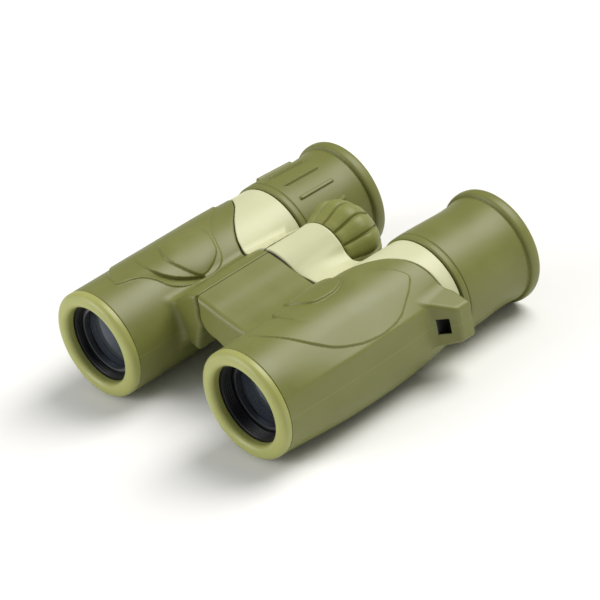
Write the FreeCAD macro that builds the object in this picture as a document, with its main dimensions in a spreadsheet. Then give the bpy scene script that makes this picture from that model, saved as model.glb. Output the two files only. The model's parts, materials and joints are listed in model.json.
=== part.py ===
# Compact roof-prism binoculars: two barrels on one hinge, a focus wheel between the eyecups,
# a dioptre adjustment on the right eyecup.  Millimetres.  Y runs from the objectives to the
# eyecups, Z is up, X = 0 is the hinge plane.  "Station" means distance behind the front rims.
# Left and right are the user's: left is +X.
import FreeCAD, Part
import Sketcher
import math
import os

os.makedirs("parts", exist_ok=True)
doc = FreeCAD.newDocument("Binoculars")
V = FreeCAD.Vector

SIZES = {
    # layout
    "half_spacing": 32.43, "axis_height": 18.1, "hinge_rise": 7.2, "total_length": 103.0,
    # front rim and front ring
    "rim_outer": 17.0, "rim_mouth": 12.4, "rim_len": 2.9,
    "ring_outer": 12.9, "ring_inner": 11.3, "ring_start": 3.05, "ring_end": 9.0,
    # body tube
    "tube_outer": 15.4, "tube_start": 3.2, "tube_end": 71.9, "cell_bore": 12.6,
    "chamber_bore": 13.2, "chamber_start": 34.0, "chamber_end": 65.0, "neck_bore": 11.6,
    "neck_outer": 14.0, "neck_end": 79.0, "band_front": 16.8, "band_rear": 16.35,
    # objective cell, measured from its own nose
    "nose_right": 4.6, "nose_left": 6.5, "nose_outer": 11.15, "cell_outer": 12.5,
    "cell_shoulder": 7.4, "cell_len": 25.0, "lens_seat": 10.55, "ledge_bore": 9.8,
    "cell_inner": 11.3, "lens_radius": 10.5, "crown_thick": 4.6, "flint_thick": 3.9,
    # prism train
    "holder_outer": 13.1, "holder_inner": 12.1, "holder_start": 37.0, "holder_end": 62.0,
    "holder_window": 8.2, "prism_half_width": 7.0, "baffle_hole": 9.2,
    # eyepiece
    "eye_outer": 11.5, "eye_inner": 10.3, "eye_start": 66.0, "eye_end": 96.0,
    "eye_lens_r": 10.2, "eye_stop": 8.6,
    # eyecup
    "cup_start": 72.2, "cup_base": 17.05, "cup_waist": 16.45, "cup_rim": 18.1,
    "cup_bore": 14.1, "cup_throat": 12.2, "cup_mouth": 15.3,
    "rib_height": 0.65, "rib_start": 77.5, "rib_end": 91.0,
    # hinge and focus train
    "axle_outer": 2.1, "axle_bore": 1.3, "axle_start": 31.9, "axle_end": 65.0,
    "rod_radius": 1.2, "rod_start": 22.4, "nut_outer": 2.1, "knuckle": 3.3, "knuckle_bore": 2.16,
    "fold_travel": 56.0, "arm_half": 1.9, "web_half": 2.5,
    # focus wheel
    "wheel_start": 65.6, "wheel_end": 79.4, "wheel_front_r": 10.4, "wheel_crown_r": 13.1,
    "wheel_rear_r": 9.8, "wheel_core_r": 8.6, "wheel_groove_r": 0.95,
    # strap lug
    "lug_reach": 23.6, "lug_half_height": 6.0, "lug_rear": 68.6, "slot_width": 2.9,
    "slot_height": 4.6,
}

sheet = doc.addObject("Spreadsheet::Sheet", "Sizes")
for row, (alias, value) in enumerate(SIZES.items(), start=1):
    sheet.set("A%d" % row, alias)
    sheet.set("B%d" % row, str(value))
    sheet.setAlias("B%d" % row, alias)
doc.recompute()


def size(alias):
    """Value of one driving dimension, read from the sheet."""
    return float(sheet.get(alias))


LEFT, RIGHT = 1, -1
SIDE_NAME = {LEFT: "left", RIGHT: "right"}
Y_FRONT = -size("total_length") / 2.0
HINGE_Z = size("axis_height") + size("hinge_rise")
HINGE_TILT = math.degrees(math.atan2(size("hinge_rise"), size("half_spacing")))
SEAM = 49.3          # station where armour gives way to the bare body beside the hinge
nodes = []


def bound(text):
    """Expression in which every word that is a size alias points at the sheet."""
    out = []
    for word in text.replace("(", " ( ").replace(")", " ) ").split():
        out.append("Sizes." + word if word in SIZES else word)
    return " ".join(out)


def evaluate(text):
    """Number that a size expression stands for."""
    total, sign = 0.0, 1.0
    for word in text.split():
        if word in ("+", "-"):
            sign = 1.0 if word == "+" else -1.0
        else:
            total += sign * (size(word) if word in SIZES else float(word))
    return total


def node(obj, label):
    """Register an object as one exported node."""
    obj.Label = label
    nodes.append(obj)
    return obj


def barrel(side):
    """Placement that moves a barrel-centred shape to its barrel."""
    return FreeCAD.Placement(V(side * size("half_spacing"), Y_FRONT, size("axis_height")),
                             FreeCAD.Rotation())


def centre():
    """Placement of a shape drawn about the hinge axis."""
    return FreeCAD.Placement(V(0, Y_FRONT, HINGE_Z), FreeCAD.Rotation())


def origin_plane(body, role):
    return [f for f in body.Origin.OriginFeatures if f.Role == role][0]


def turned(name, profile, place, rounds=()):
    """Ring turned about Y from (radius, station) corners; rounds are (radius, station, fillet)."""
    body = doc.addObject("PartDesign::Body", name)
    sketch = body.newObject("Sketcher::SketchObject", name + "_profile")
    sketch.AttachmentSupport = [(origin_plane(body, "XY_Plane"), "")]
    sketch.MapMode = "FlatFace"
    corners = [V(evaluate(r), evaluate(s), 0) for r, s in profile]
    count = len(corners)
    for i in range(count):
        sketch.addGeometry(Part.LineSegment(corners[i], corners[(i + 1) % count]), False)
    for i in range(count):
        sketch.addConstraint(Sketcher.Constraint("Coincident", i, 2, (i + 1) % count, 1))
    for i, (r, s) in enumerate(profile):
        for kind, text, value in (("DistanceX", r, corners[i].x), ("DistanceY", s, corners[i].y)):
            number = sketch.addConstraint(Sketcher.Constraint(kind, -1, 1, i, 1, value))
            sketch.setExpression("Constraints[%d]" % number, bound(text))
    turn = body.newObject("PartDesign::Revolution", name + "_turn")
    turn.Profile = sketch
    turn.ReferenceAxis = (sketch, ["V_Axis"])
    turn.Angle = 360
    doc.recompute()
    feature = turn
    for number, (r, s, fillet_radius) in enumerate(rounds):
        picked = edges_at(feature.Shape, evaluate(r), evaluate(s))
        feature = add_fillet(body, feature, picked, fillet_radius, name + "_round%d" % number)
    body.Placement = place
    return body


def edges_at(shape, radius, station):
    """Names of the circular edges about Y with this radius and station."""
    found = []
    for number, edge in enumerate(shape.Edges, start=1):
        curve = edge.Curve
        if isinstance(curve, Part.Circle) and abs(curve.Radius - radius) < 0.02:
            if abs(curve.Center.y - station) < 0.02:
                found.append("Edge%d" % number)
    return found


def add_fillet(body, feature, edge_names, radius, name):
    fillet = body.newObject("PartDesign::Fillet", name)
    fillet.Base = (feature, edge_names)
    fillet.Radius = radius
    doc.recompute()
    return fillet


def rod(name, radius, start, end, place):
    """Plain cylinder along Y, its sizes bound to the sheet."""
    item = doc.addObject("Part::Cylinder", name)
    item.setExpression("Radius", bound(radius))
    item.setExpression("Height", bound(end + " - ( " + start + " )"))
    spin = FreeCAD.Rotation(V(1, 0, 0), -90)
    item.Placement = place.multiply(FreeCAD.Placement(V(0, evaluate(start), 0), spin))
    return item


def ball(name, radius, station, place):
    item = doc.addObject("Part::Sphere", name)
    item.Radius = radius
    item.Placement = place.multiply(FreeCAD.Placement(V(0, station, 0), FreeCAD.Rotation()))
    return item


def fuse(name, items):
    result = doc.addObject("Part::MultiFuse", name)
    result.Shapes = items
    return result


def cut(name, base, tool):
    result = doc.addObject("Part::Cut", name)
    result.Base = base
    result.Tool = tool
    return result


def common(name, first, second):
    result = doc.addObject("Part::Common", name)
    result.Base = first
    result.Tool = second
    return result


def coded(name, shape, place=None):
    """Part::Feature holding a shape that no primitive or sketch feature can give."""
    item = doc.addObject("Part::Feature", name)
    item.Shape = shape
    if place is not None:
        item.Placement = place
    return item


def bar(name, side, near, far, half, start, end):
    """Flat bar from the hinge axis towards a barrel axis, between two stations."""
    item = doc.addObject("Part::Box", name)
    item.Length = far - near
    item.Width = end - start
    item.Height = 2 * half
    tilt = FreeCAD.Rotation(V(0, 1, 0), HINGE_TILT if side == LEFT else 180 - HINGE_TILT)
    offset = tilt.multVec(V(near, 0, -half))
    item.Placement = FreeCAD.Placement(V(offset.x, Y_FRONT + start, HINGE_Z + offset.z), tilt)
    return item


# ---------------------------------------------------------------- outer form of the armour

# How far the outer side has swollen from a circle (0) to the full section (1), by station.
SWELL = [(3.2, 0.0), (8.0, 0.16), (13.0, 0.41), (19.0, 0.67), (25.5, 0.88), (33.0, 0.98),
         (41.0, 1.0), (49.0, 0.90), (56.0, 0.67), (62.0, 0.44), (69.5, 0.10)]
BARREL_R = 17.0
CREASE_DEG = 21.1
FLAT_DEG = 49.0
BELLY = (3.4, -2.9, 14.6)


def full_radius(deg):
    """Radius of the fully swollen section, at an angle from the outward horizontal."""
    deg = (deg + 180.0) % 360.0 - 180.0
    rad = math.radians(deg)
    if deg >= FLAT_DEG:
        return BARREL_R
    if deg >= CREASE_DEG:
        return BARREL_R / math.cos(rad - math.radians(FLAT_DEG))
    wall = BARREL_R / math.cos(math.radians(CREASE_DEG - FLAT_DEG))
    wall *= math.cos(math.radians(CREASE_DEG))
    if deg >= -9.5:
        return wall / math.cos(rad)
    along = BELLY[0] * math.cos(rad) + BELLY[1] * math.sin(rad)
    reach = BELLY[0] ** 2 + BELLY[1] ** 2 - BELLY[2] ** 2
    return max(BARREL_R, along + math.sqrt(along * along - reach))


def section_wire(side, station, swell, grow):
    """Closed section of the armour's outside at one station."""
    base = BARREL_R - 0.55 * max(0.0, (station - 50.0) / 20.0) ** 1.5
    spans = ((CREASE_DEG, 180.0, 18), (180.0, CREASE_DEG + 360.0, 24))
    edges = []
    for first, last, steps in spans:
        points = []
        for i in range(steps + 1):
            deg = first + (last - first) * i / steps
            radius = base + grow + swell * (full_radius(deg) - BARREL_R)
            rad = math.radians(deg)
            points.append(V(side * radius * math.cos(rad), station, radius * math.sin(rad)))
        curve = Part.BSplineCurve()
        curve.interpolate(points)
        edges.append(curve.toShape())
    return Part.Wire(edges)


def armour_form(side, grow=0.0):
    wires = [section_wire(side, station, swell, grow) for station, swell in SWELL]
    return Part.makeLoft(wires, True, False, False)


# Rear edge of the armour seen from above: (outward distance from the barrel axis, station).
REAR_EDGE = [(-46.0, 49.3), (-24.0, 49.3), (-14.2, 49.3), (-10.7, 50.6), (-8.0, 52.6),
             (-5.0, 55.3), (-2.7, 57.7), (0.0, 60.6), (4.7, 63.6), (10.7, 66.0),
             (15.0, 67.0), (20.0, 68.6), (27.0, 68.6)]


def zone(side, front, gap):
    """Upright prism: everything in front of (or behind) the armour's rear edge."""
    points = [V(side * u, s + (0 if front else gap), -40) for u, s in REAR_EDGE]
    straight = Part.makePolygon(points[:3]).Edges
    curve = Part.BSplineCurve()
    curve.interpolate(points[2:11])
    tail = Part.makePolygon(points[10:]).Edges
    far = -6.0 if front else 112.0
    close = Part.makePolygon([points[-1], V(points[-1].x, far, -40), V(points[0].x, far, -40),
                              points[0]]).Edges
    wire = Part.Wire(straight + [curve.toShape()] + tail + close)
    return Part.Face(wire).extrude(V(0, 0, 80))


# Raised grip panel on top of each barrel: (angle up from the hinge side, station).
PANEL = [(78, 10.2), (73, 14.9), (59, 20.5), (42, 24.5), (34, 31.8), (37, 40.7), (59, 44.7),
         (75, 46.9), (94, 51.4), (107, 56.9), (120, 59.3), (127, 59.6), (137, 56.3),
         (153, 48.2), (156, 39.0), (150, 29.5), (138, 23.0), (113, 16.0), (92, 11.5)]
# Thumb pad on the hinge side of each panel.
PAD = [(38, 33.4), (41, 38.0), (49, 41.9), (58, 43.5), (84, 44.2), (95, 39.1), (93, 30.3),
       (80, 28.8), (67, 27.8), (49, 30.3)]


def upright_outline(side, outline, radius):
    """Upright prism standing on an outline that is wrapped over the barrel's top."""
    points = []
    for deg, station in outline:
        points.append(V(-side * radius * math.cos(math.radians(deg)), station, 2.0))
    curve = Part.BSplineCurve()
    curve.interpolate(points, PeriodicFlag=True)
    return Part.Face(Part.Wire([curve.toShape()])).extrude(V(0, 0, 22))


def raised(side, outline, grow):
    return armour_form(side, grow).common(upright_outline(side, outline, BARREL_R))


# ---------------------------------------------------------------- hinge sections (X, Z)
# Heights here are above the barrel axes; the hinge axis is at height hinge_rise.

def spline(points):
    curve = Part.BSplineCurve()
    curve.interpolate(points)
    return curve.toShape()


def flat(x, height):
    return V(x, 0, height)


def on_seam(radius, deg):
    """Point on a circle about the hinge axis; 90 is up, 180 is towards the right barrel."""
    rad = math.radians(deg)
    return flat(radius * math.cos(rad), size("hinge_rise") + radius * math.sin(rad))


def bridge_section(top, left_drop, seam_radius, floor):
    """Left half's part of the bridge: over the hinge axis and down to the left barrel."""
    lower = on_seam(seam_radius, 262)
    start = on_seam(seam_radius, left_drop)
    arc = Part.Arc(start, on_seam(seam_radius, (left_drop + 262) / 2.0), lower).toShape()
    edges = [spline(top), Part.LineSegment(top[0], start).toShape(), arc]
    edges += Part.makePolygon([lower] + floor + [top[-1]]).Edges
    return Part.Wire(Part.__sortEdges__(edges))


def shoulder_section(top, seam_top, seam_radius, tip, seam_end=215):
    """Right half's part of the bridge: from the right barrel up to the seam."""
    start = on_seam(seam_radius, seam_top)
    end = on_seam(seam_radius, seam_end)
    arc = Part.Arc(start, on_seam(seam_radius, (seam_top + seam_end) / 2.0), end).toShape()
    edges = [spline(top), Part.LineSegment(top[-1], start).toShape(), arc]
    edges += Part.makePolygon([end] + tip + [top[0]]).Edges
    return Part.Wire(Part.__sortEdges__(edges))


def slab(name, front, rear, start, end):
    """Solid between a front and a rear section, set at barrel-axis height."""
    rear = rear.copy()
    rear.translate(V(0, end - start, 0))
    shape = Part.makeLoft([front, rear], True, True)
    shape.translate(V(0, Y_FRONT + start, size("axis_height")))
    return coded(name, shape)


BLOCK_TOP = [flat(-5.71, 14.2), flat(-4.0, 13.6), flat(-0.2, 12.4), flat(3.5, 10.9),
             flat(7.3, 9.8), flat(12.6, 8.2), flat(21.0, 6.6)]
SADDLE_FRONT = [flat(-8.1, 14.1), flat(-5.9, 14.45), flat(-3.3, 13.95), flat(-0.6, 12.8),
                flat(1.9, 11.0), flat(3.9, 9.7), flat(6.4, 8.95), flat(9.85, 8.8),
                flat(21.0, 8.3)]
SADDLE_REAR = [flat(-7.9, 13.75), flat(-5.0, 16.0), flat(0.0, 17.3), flat(4.6, 16.2),
               flat(8.2, 13.1), flat(9.7, 10.4), flat(12.0, 8.6), flat(15.0, 8.7),
               flat(21.0, 10.2)]
CHEEK_TOP = [flat(-22.0, 6.2), flat(-18.1, 8.7), flat(-13.0, 12.2), flat(-9.0, 14.0),
             flat(-5.97, 14.25)]
SHOULDER_FRONT = [flat(-22.0, 6.2), flat(-18.7, 8.3), flat(-13.6, 11.8), flat(-10.6, 13.6),
                  flat(-8.6, 14.2)]
SHOULDER_REAR = [flat(-22.0, 5.4), flat(-18.1, 7.6), flat(-14.5, 10.2), flat(-11.5, 12.0),
                 flat(-8.7, 13.6)]
SADDLE_SPAN = (50.1, 65.2)      # stations where the bare bridge starts and ends


def bridge_block():
    section = bridge_section(BLOCK_TOP, 156, 6.25, [flat(3.0, -1.4), flat(21.0, -5.5)])
    return slab("bridge_block", section, section, 20.0, SEAM + 0.6)


def bridge_saddle():
    floor = [flat(3.0, -3.6), flat(21.0, -6.0)]
    front = bridge_section(SADDLE_FRONT, 139.0, 10.3, floor)
    rear = bridge_section(SADDLE_REAR, 140.0, 10.3, floor)
    return slab("bridge_saddle", front, rear, *SADDLE_SPAN)


def cheek():
    tip = [flat(-10.2, -5.5), flat(-14.2, -3.2), flat(-22.0, -6.0)]
    section = shoulder_section(CHEEK_TOP, 156.5, 6.5, tip, 205)
    return slab("cheek", section, section, 20.0, SEAM + 0.6)


def shoulder():
    tip = [flat(-12.5, -3.4), flat(-22.0, -6.0)]
    front = shoulder_section(SHOULDER_FRONT, 140.0, 10.75, tip)
    rear = shoulder_section(SHOULDER_REAR, 141.0, 10.75, tip)
    return slab("shoulder", front, rear, *SADDLE_SPAN)


def swept_clearance(name, start, end, half, far):
    """Room that a bar of the right half sweeps as the barrels are folded together."""
    bars = []
    steps = 4
    for i in range(steps + 1):
        piece = bar("%s_%d" % (name, i), RIGHT, 0.0, far, half, start, end)
        turn = FreeCAD.Rotation(V(0, 1, 0), -size("fold_travel") * i / steps)
        pivot = V(0, 0, HINGE_Z)
        offset = pivot - turn.multVec(pivot)
        piece.Placement = FreeCAD.Placement(offset, turn).multiply(piece.Placement)
        bars.append(piece)
    bars.append(rod(name + "_round", "knuckle + 0.3", str(start), str(end), centre()))
    return fuse(name, bars)


# ---------------------------------------------------------------- strap lug

def lug(side):
    """Strap lug on the outer side, with a slanted front face."""
    reach = size("lug_reach")
    rear = size("lug_rear")
    outline = [V(12, 53, 0), V(17.4, 57.2, 0), V(reach - 0.5, 62.6, 0), V(reach, 64.0, 0),
               V(reach, rear - 0.8, 0), V(reach - 0.8, rear, 0), V(12, rear, 0), V(12, 53, 0)]
    points = [V(side * p.x, p.y, -size("lug_half_height") - 0.6) for p in outline]
    block = Part.Face(Part.makePolygon(points)).extrude(V(0, 0, 2 * size("lug_half_height") + 1.2))
    edges = [e for e in block.Edges if abs(e.tangentAt(e.FirstParameter).z) < 0.1
             and min(abs(v.Point.x) for v in e.Vertexes) > 17]
    return block.makeChamfer(1.2, edges)


def lug_slot(name, side):
    item = doc.addObject("Part::Box", name)
    item.setExpression("Length", "Sizes.slot_width")
    item.Width = 20
    item.setExpression("Height", "Sizes.slot_height")
    x = size("half_spacing") + 18.4
    left = x if side == LEFT else -x - size("slot_width")
    item.Placement.Base = V(left, Y_FRONT + 52, size("axis_height") - size("slot_height") / 2)
    return item


# ---------------------------------------------------------------- sub-parts of each half

CHAMBER = (22.0, 31.6)          # room for the focus nut and the two arms
KNUCKLE_RIGHT = (36.4, 46.6)    # the right half's hinge knuckle
KNUCKLE_LEFT = ((31.9, 35.9), (47.1, 49.2))


def make_armour(side):
    name = SIDE_NAME[side]
    place = barrel(side)
    shell = armour_form(side)
    shell = shell.fuse([raised(side, PANEL, 0.4), raised(side, PAD, 1.0), lug(side)])
    outside = coded(name + "_armour_form", shell, place)
    bridge = bridge_block() if side == LEFT else cheek()
    whole = fuse(name + "_armour_whole", [outside, bridge])
    front = coded(name + "_armour_zone", zone(side, True, 0.0), place)
    trimmed = common(name + "_armour_trimmed", whole, front)
    tools = [rod(name + "_armour_bore", "tube_outer + 0.05", "0", "80", place),
             lug_slot(name + "_strap_slot", side)]
    tools.append(bar(name + "_arm_way", side, 0.0, 20.0, 2.4, *CHAMBER))
    if side == LEFT:
        tools.append(rod("nut_room", "knuckle + 0.3", "22.0", "31.6", centre()))
        tools.append(swept_clearance("arm_sweep", CHAMBER[0], CHAMBER[1], 2.4, 12.0))
        tools.append(swept_clearance("web_sweep", 36.0, 47.0, 2.9, 12.0))
        for number, (start, end) in enumerate(KNUCKLE_LEFT):
            tools.append(rod("knuckle_room%d" % number, "knuckle + 0.05", str(start - 0.3),
                             str(end + 0.1), centre()))
            tools.append(bar("web_room%d" % number, LEFT, 0.0, 20.0, 2.55, start - 0.1,
                             end + 0.1))
    else:
        tools.append(bar("right_web_room", RIGHT, 0.0, 20.0, 2.55, KNUCKLE_RIGHT[0] - 0.05,
                         KNUCKLE_RIGHT[1] + 0.05))
    node(cut(name + "_armour_cut", trimmed, fuse(name + "_armour_tools", tools)),
         name + "_armour")


def make_body(side):
    """Hard body tube with its hinge knuckles."""
    name = SIDE_NAME[side]
    place = barrel(side)
    solids = [turned(name + "_tube",
                     [("neck_bore", "tube_start"), ("tube_outer", "tube_start"),
                      ("tube_outer", "tube_end"), ("neck_outer", "tube_end"),
                      ("neck_outer", "neck_end"), ("neck_bore", "neck_end")], place)]
    spans = KNUCKLE_LEFT if side == LEFT else (KNUCKLE_RIGHT,)
    for number, (start, end) in enumerate(spans):
        solids.append(rod("%s_knuckle%d" % (name, number), "knuckle", str(start), str(end),
                          centre()))
        solids.append(bar("%s_web%d" % (name, number), side, 0.0, 20.0, size("web_half"),
                          start, end))
    tools = [rod(name + "_ring_seat", "ring_outer + 0.05", "0", "ring_end + 0.1", place),
             rod(name + "_cell_bore", "cell_bore", "0", "chamber_start + 1", place),
             rod(name + "_chamber", "chamber_bore", "chamber_start", "chamber_end", place),
             rod(name + "_neck_bore", "neck_bore", "chamber_start", "neck_end + 1", place),
             bar(name + "_arm_slot", side, 12.0, 22.0, 2.4, *CHAMBER),
             rod(name + "_axle_bore", "axle_outer + 0.02" if side == LEFT else "knuckle_bore",
                 "20", "75", centre())]
    node(cut(name + "_body_cut", fuse(name + "_body_whole", solids),
             fuse(name + "_body_tools", tools)), name + "_body")


def make_bridge_shell(side):
    """Bare shell behind the armour: the band round the barrel and its share of the bridge."""
    name = SIDE_NAME[side]
    place = barrel(side)
    band = turned(name + "_band",
                  [("neck_bore", "48.0"), ("band_front", "48.0"), ("band_rear", "tube_end"),
                   ("neck_bore", "tube_end")], place)
    bridge = bridge_saddle() if side == LEFT else shoulder()
    rear = coded(name + "_band_zone", zone(side, False, 0.3), place)
    bare = common(name + "_bare", fuse(name + "_bare_whole", [band, bridge]), rear)
    tools = [rod(name + "_shell_bore", "tube_outer + 0.02", "40", "80", place)]
    if side == LEFT:
        tools.append(rod("shell_axle_bore", "axle_outer + 0.02", "20", "75", centre()))
    node(cut(name + "_shell_cut", bare, fuse(name + "_shell_tools", tools)
             if len(tools) > 1 else tools[0]), name + "_bridge_shell")


def make_front(side):
    """Rubber rim and the threaded front ring."""
    name = SIDE_NAME[side]
    place = barrel(side)
    rim = turned(name + "_rim",
                 [("rim_mouth", "rim_len"), ("rim_mouth", "1.5"), ("13.2", "0"),
                  ("15.6", "0"), ("rim_outer", "1.4"), ("rim_outer", "rim_len")],
                 place, [("13.2", "0", 0.9), ("15.6", "0", 1.2)])
    node(rim, name + "_objective_rim")
    profile = [("ring_outer", "ring_start"), ("ring_outer", "ring_end"),
               ("ring_inner", "ring_end")]
    pitch = 0.75
    turns = 7
    for i in range(turns):
        station = 8.6 - i * pitch
        profile += [("ring_inner", "%.3f" % station), ("ring_inner + 0.35", "%.3f" % (station - 0.3)),
                    ("ring_inner", "%.3f" % (station - 0.6))]
    profile += [("ring_inner", "3.45"), ("ring_inner + 0.4", "ring_start")]
    node(turned(name + "_front_ring", profile, place), name + "_front_ring")


def lens(name, radius, start, thick, front_curve, rear_curve, place):
    """Round glass; a positive curve bulges outwards, a negative one is hollow."""
    blank = rod(name + "_blank", radius, str(start), str(start + thick), place)
    shape = blank
    sag = evaluate(radius)
    for tag, curve, edge, way in (("front", front_curve, start, 1),
                                  ("rear", rear_curve, start + thick, -1)):
        if curve == 0:
            continue
        drop = abs(curve) - math.sqrt(curve * curve - sag * sag)
        if curve > 0:
            station = edge + way * abs(curve)
            shape = common(name + "_" + tag, shape,
                           ball(name + "_ball_" + tag, abs(curve), station, place))
        else:
            station = edge + way * drop - way * abs(curve)
            shape = cut(name + "_" + tag, shape,
                        ball(name + "_ball_" + tag, abs(curve), station, place))
    return node(shape, name)


def make_objective(side):
    name = SIDE_NAME[side]
    place = barrel(side)
    nose = "nose_" + name
    start = size(nose)
    node(turned(name + "_cell",
                [("lens_seat", nose), ("nose_outer", nose), ("nose_outer", nose + " + cell_shoulder"),
                 ("cell_outer", nose + " + cell_shoulder"), ("cell_outer", nose + " + cell_len"),
                 ("cell_inner", nose + " + cell_len"), ("cell_inner", nose + " + 9.4"),
                 ("ledge_bore", nose + " + 9.4"), ("ledge_bore", nose + " + 8.1"),
                 ("lens_seat", nose + " + 8.1")], place), name + "_objective_cell")
    node(turned(name + "_retainer",
                [("9.75", nose + " + 0.4"), ("lens_seat - 0.02", nose + " + 0.4"),
                 ("lens_seat - 0.02", nose + " + 2.3"), ("9.9", nose + " + 2.12")], place),
         name + "_objective_retainer")
    lens(name + "_objective_crown", "lens_radius", start + 1.05, size("crown_thick"),
         42.0, 36.0, place)
    lens(name + "_objective_flint", "lens_radius", start + 4.11, size("flint_thick"),
         -36.0, 0, place)


def make_prisms(side):
    name = SIDE_NAME[side]
    place = barrel(side)
    node(turned(name + "_baffle",
                [("baffle_hole", "chamber_start + 1.2"), ("chamber_bore - 0.05", "chamber_start + 1.2"),
                 ("chamber_bore - 0.05", "chamber_start + 2.4"), ("baffle_hole", "chamber_start + 1.8")],
                place), name + "_baffle")
    node(turned(name + "_holder",
                [("holder_window", "holder_start"), ("holder_outer", "holder_start"),
                 ("holder_outer", "holder_end"), ("holder_inner", "holder_end"),
                 ("holder_inner", "holder_start + 1.4"), ("holder_window", "holder_start + 1.4")],
                place), name + "_prism_holder")
    half = size("prism_half_width")
    outlines = {
        "half_penta_prism": [(38.6, -8.0), (38.6, 8.0), (45.6, 8.0), (51.9, -7.0), (49.4, -8.0)],
        "roof_prism": [(46.3, 8.3), (52.4, -6.4), (60.6, 8.3)],
        "prism_clip": [(38.6, 8.5), (60.6, 8.5), (61.4, 6.0), (61.8, 6.0), (61.2, 9.0),
                       (38.6, 9.0)],
    }
    for tail, outline in outlines.items():
        width = half if tail != "prism_clip" else 3.0
        points = [V(-width, s, z) for s, z in outline + outline[:1]]
        solid = Part.Face(Part.makePolygon(points)).extrude(V(2 * width, 0, 0))
        if tail == "roof_prism":
            roof = Part.makePolygon([V(-8, 30, 8.4), V(-8, 30, 5.0), V(0, 30, 8.4), V(-8, 30, 8.4)])
            chip = Part.Face(roof).extrude(V(0, 40, 0))
            solid = solid.cut(chip).cut(chip.mirror(V(0, 0, 0), V(1, 0, 0)))
        node(coded(name + "_" + tail, solid, place), name + "_" + tail)


def make_eyepiece(side):
    name = SIDE_NAME[side]
    place = barrel(side)
    node(turned(name + "_eye_tube",
                [("eye_stop", "eye_start"), ("eye_outer", "eye_start"), ("eye_outer", "eye_end"),
                 ("eye_inner", "eye_end"), ("eye_inner", "eye_start + 1.5"),
                 ("eye_stop", "eye_start + 1.5")], place), name + "_eyepiece_tube")
    first = size("eye_start") + 1.7
    lens(name + "_field_lens", "eye_lens_r", first, 5.0, 0, 16.5, place)
    node(turned(name + "_spacer",
                [("eye_stop + 0.8", "eye_start + 5.2"), ("eye_lens_r", "eye_start + 5.2"),
                 ("eye_lens_r", "eye_end - 9.6"), ("eye_stop", "eye_end - 9.6")], place),
         name + "_eyepiece_spacer")
    last = size("eye_end") - 9.4
    lens(name + "_eye_lens", "eye_lens_r", last, 6.5, 18.0, 30.0, place)
    node(turned(name + "_eye_retainer",
                [("eye_stop", "eye_end - 4.0"), ("eye_lens_r", "eye_end - 4.0"),
                 ("eye_lens_r", "eye_end - 0.3"), ("eye_lens_r - 0.5", "eye_end - 0.3")], place),
         name + "_eyepiece_retainer")


def make_eyecup(side):
    name = SIDE_NAME[side]
    place = barrel(side)
    label = "left_eyecup" if side == LEFT else "right_dioptre_eyecup"
    cup = turned(name + "_cup",
                 [("cup_bore", "cup_start"), ("cup_base - 0.3", "cup_start"),
                  ("cup_base", "cup_start + 0.4"), ("cup_base - 0.05", "79.0"),
                  ("cup_waist + 0.25", "85.5"), ("cup_waist", "91.5"), ("cup_waist + 0.2", "95.5"),
                  ("cup_waist + 0.75", "98.4"), ("cup_waist + 0.45", "98.8"),
                  ("cup_waist + 0.9", "99.6"), ("cup_rim", "101.0"), ("cup_rim", "102.2"),
                  ("17.5", "103.0"), ("16.2", "103.0"), ("cup_mouth", "102.0"),
                  ("cup_throat + 1.0", "98.0"), ("cup_throat", "96.5"), ("cup_throat", "79.9"),
                  ("cup_bore", "79.9")],
                 place, [("cup_rim", "101.0", 0.8), ("cup_rim", "102.2", 0.6)])
    if side == LEFT:
        node(cup, label)
        return
    ribs = []
    count = 16
    depth = size("cup_base") + size("rib_height")
    for i in range(count):
        rib = doc.addObject("Part::Box", "rib%d" % i)
        rib.Length = 1.3
        rib.setExpression("Width", bound("rib_end - rib_start"))
        rib.Height = 2.6
        # The first rib stands 7.5 degrees above the level.
        turn = FreeCAD.Rotation(V(0, 1, 0), 90.0 - (7.5 + 360.0 * i / count))
        corner = turn.multVec(V(-0.65, 0, depth - 2.9))
        rib.Placement = place.multiply(
            FreeCAD.Placement(V(corner.x, size("rib_start"), corner.z), turn))
        ribs.append(rib)
    envelope = turned("rib_envelope",
                      [("cup_throat + 2.0", "rib_start - 0.6"), ("cup_base - 0.35", "rib_start - 0.6"),
                       ("cup_base", "rib_start"), ("cup_base - 0.15", "rib_end - 0.6"),
                       ("cup_waist - 0.1", "rib_end + 0.4"), ("cup_throat + 2.0", "rib_end + 0.4")],
                      place)
    ring = common("ribs", fuse("rib_blanks", ribs), envelope)
    node(fuse("ribbed_cup", [cup, ring]), label)


# ---------------------------------------------------------------- hinge and focus train

def make_hinge():
    node(turned("axle",
                [("axle_bore", "axle_start"), ("axle_outer", "axle_start"),
                 ("axle_outer", "axle_end"), ("axle_bore", "axle_end")], centre()),
         "hinge_axle")
    for label, station in (("front_hinge_washer", 36.0), ("rear_hinge_washer", 46.7)):
        node(turned(label + "_ring",
                    [("axle_outer + 0.03", "%.2f" % station), ("knuckle", "%.2f" % station),
                     ("knuckle", "%.2f" % (station + 0.3)),
                     ("axle_outer + 0.03", "%.2f" % (station + 0.3))], centre()), label)


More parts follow.
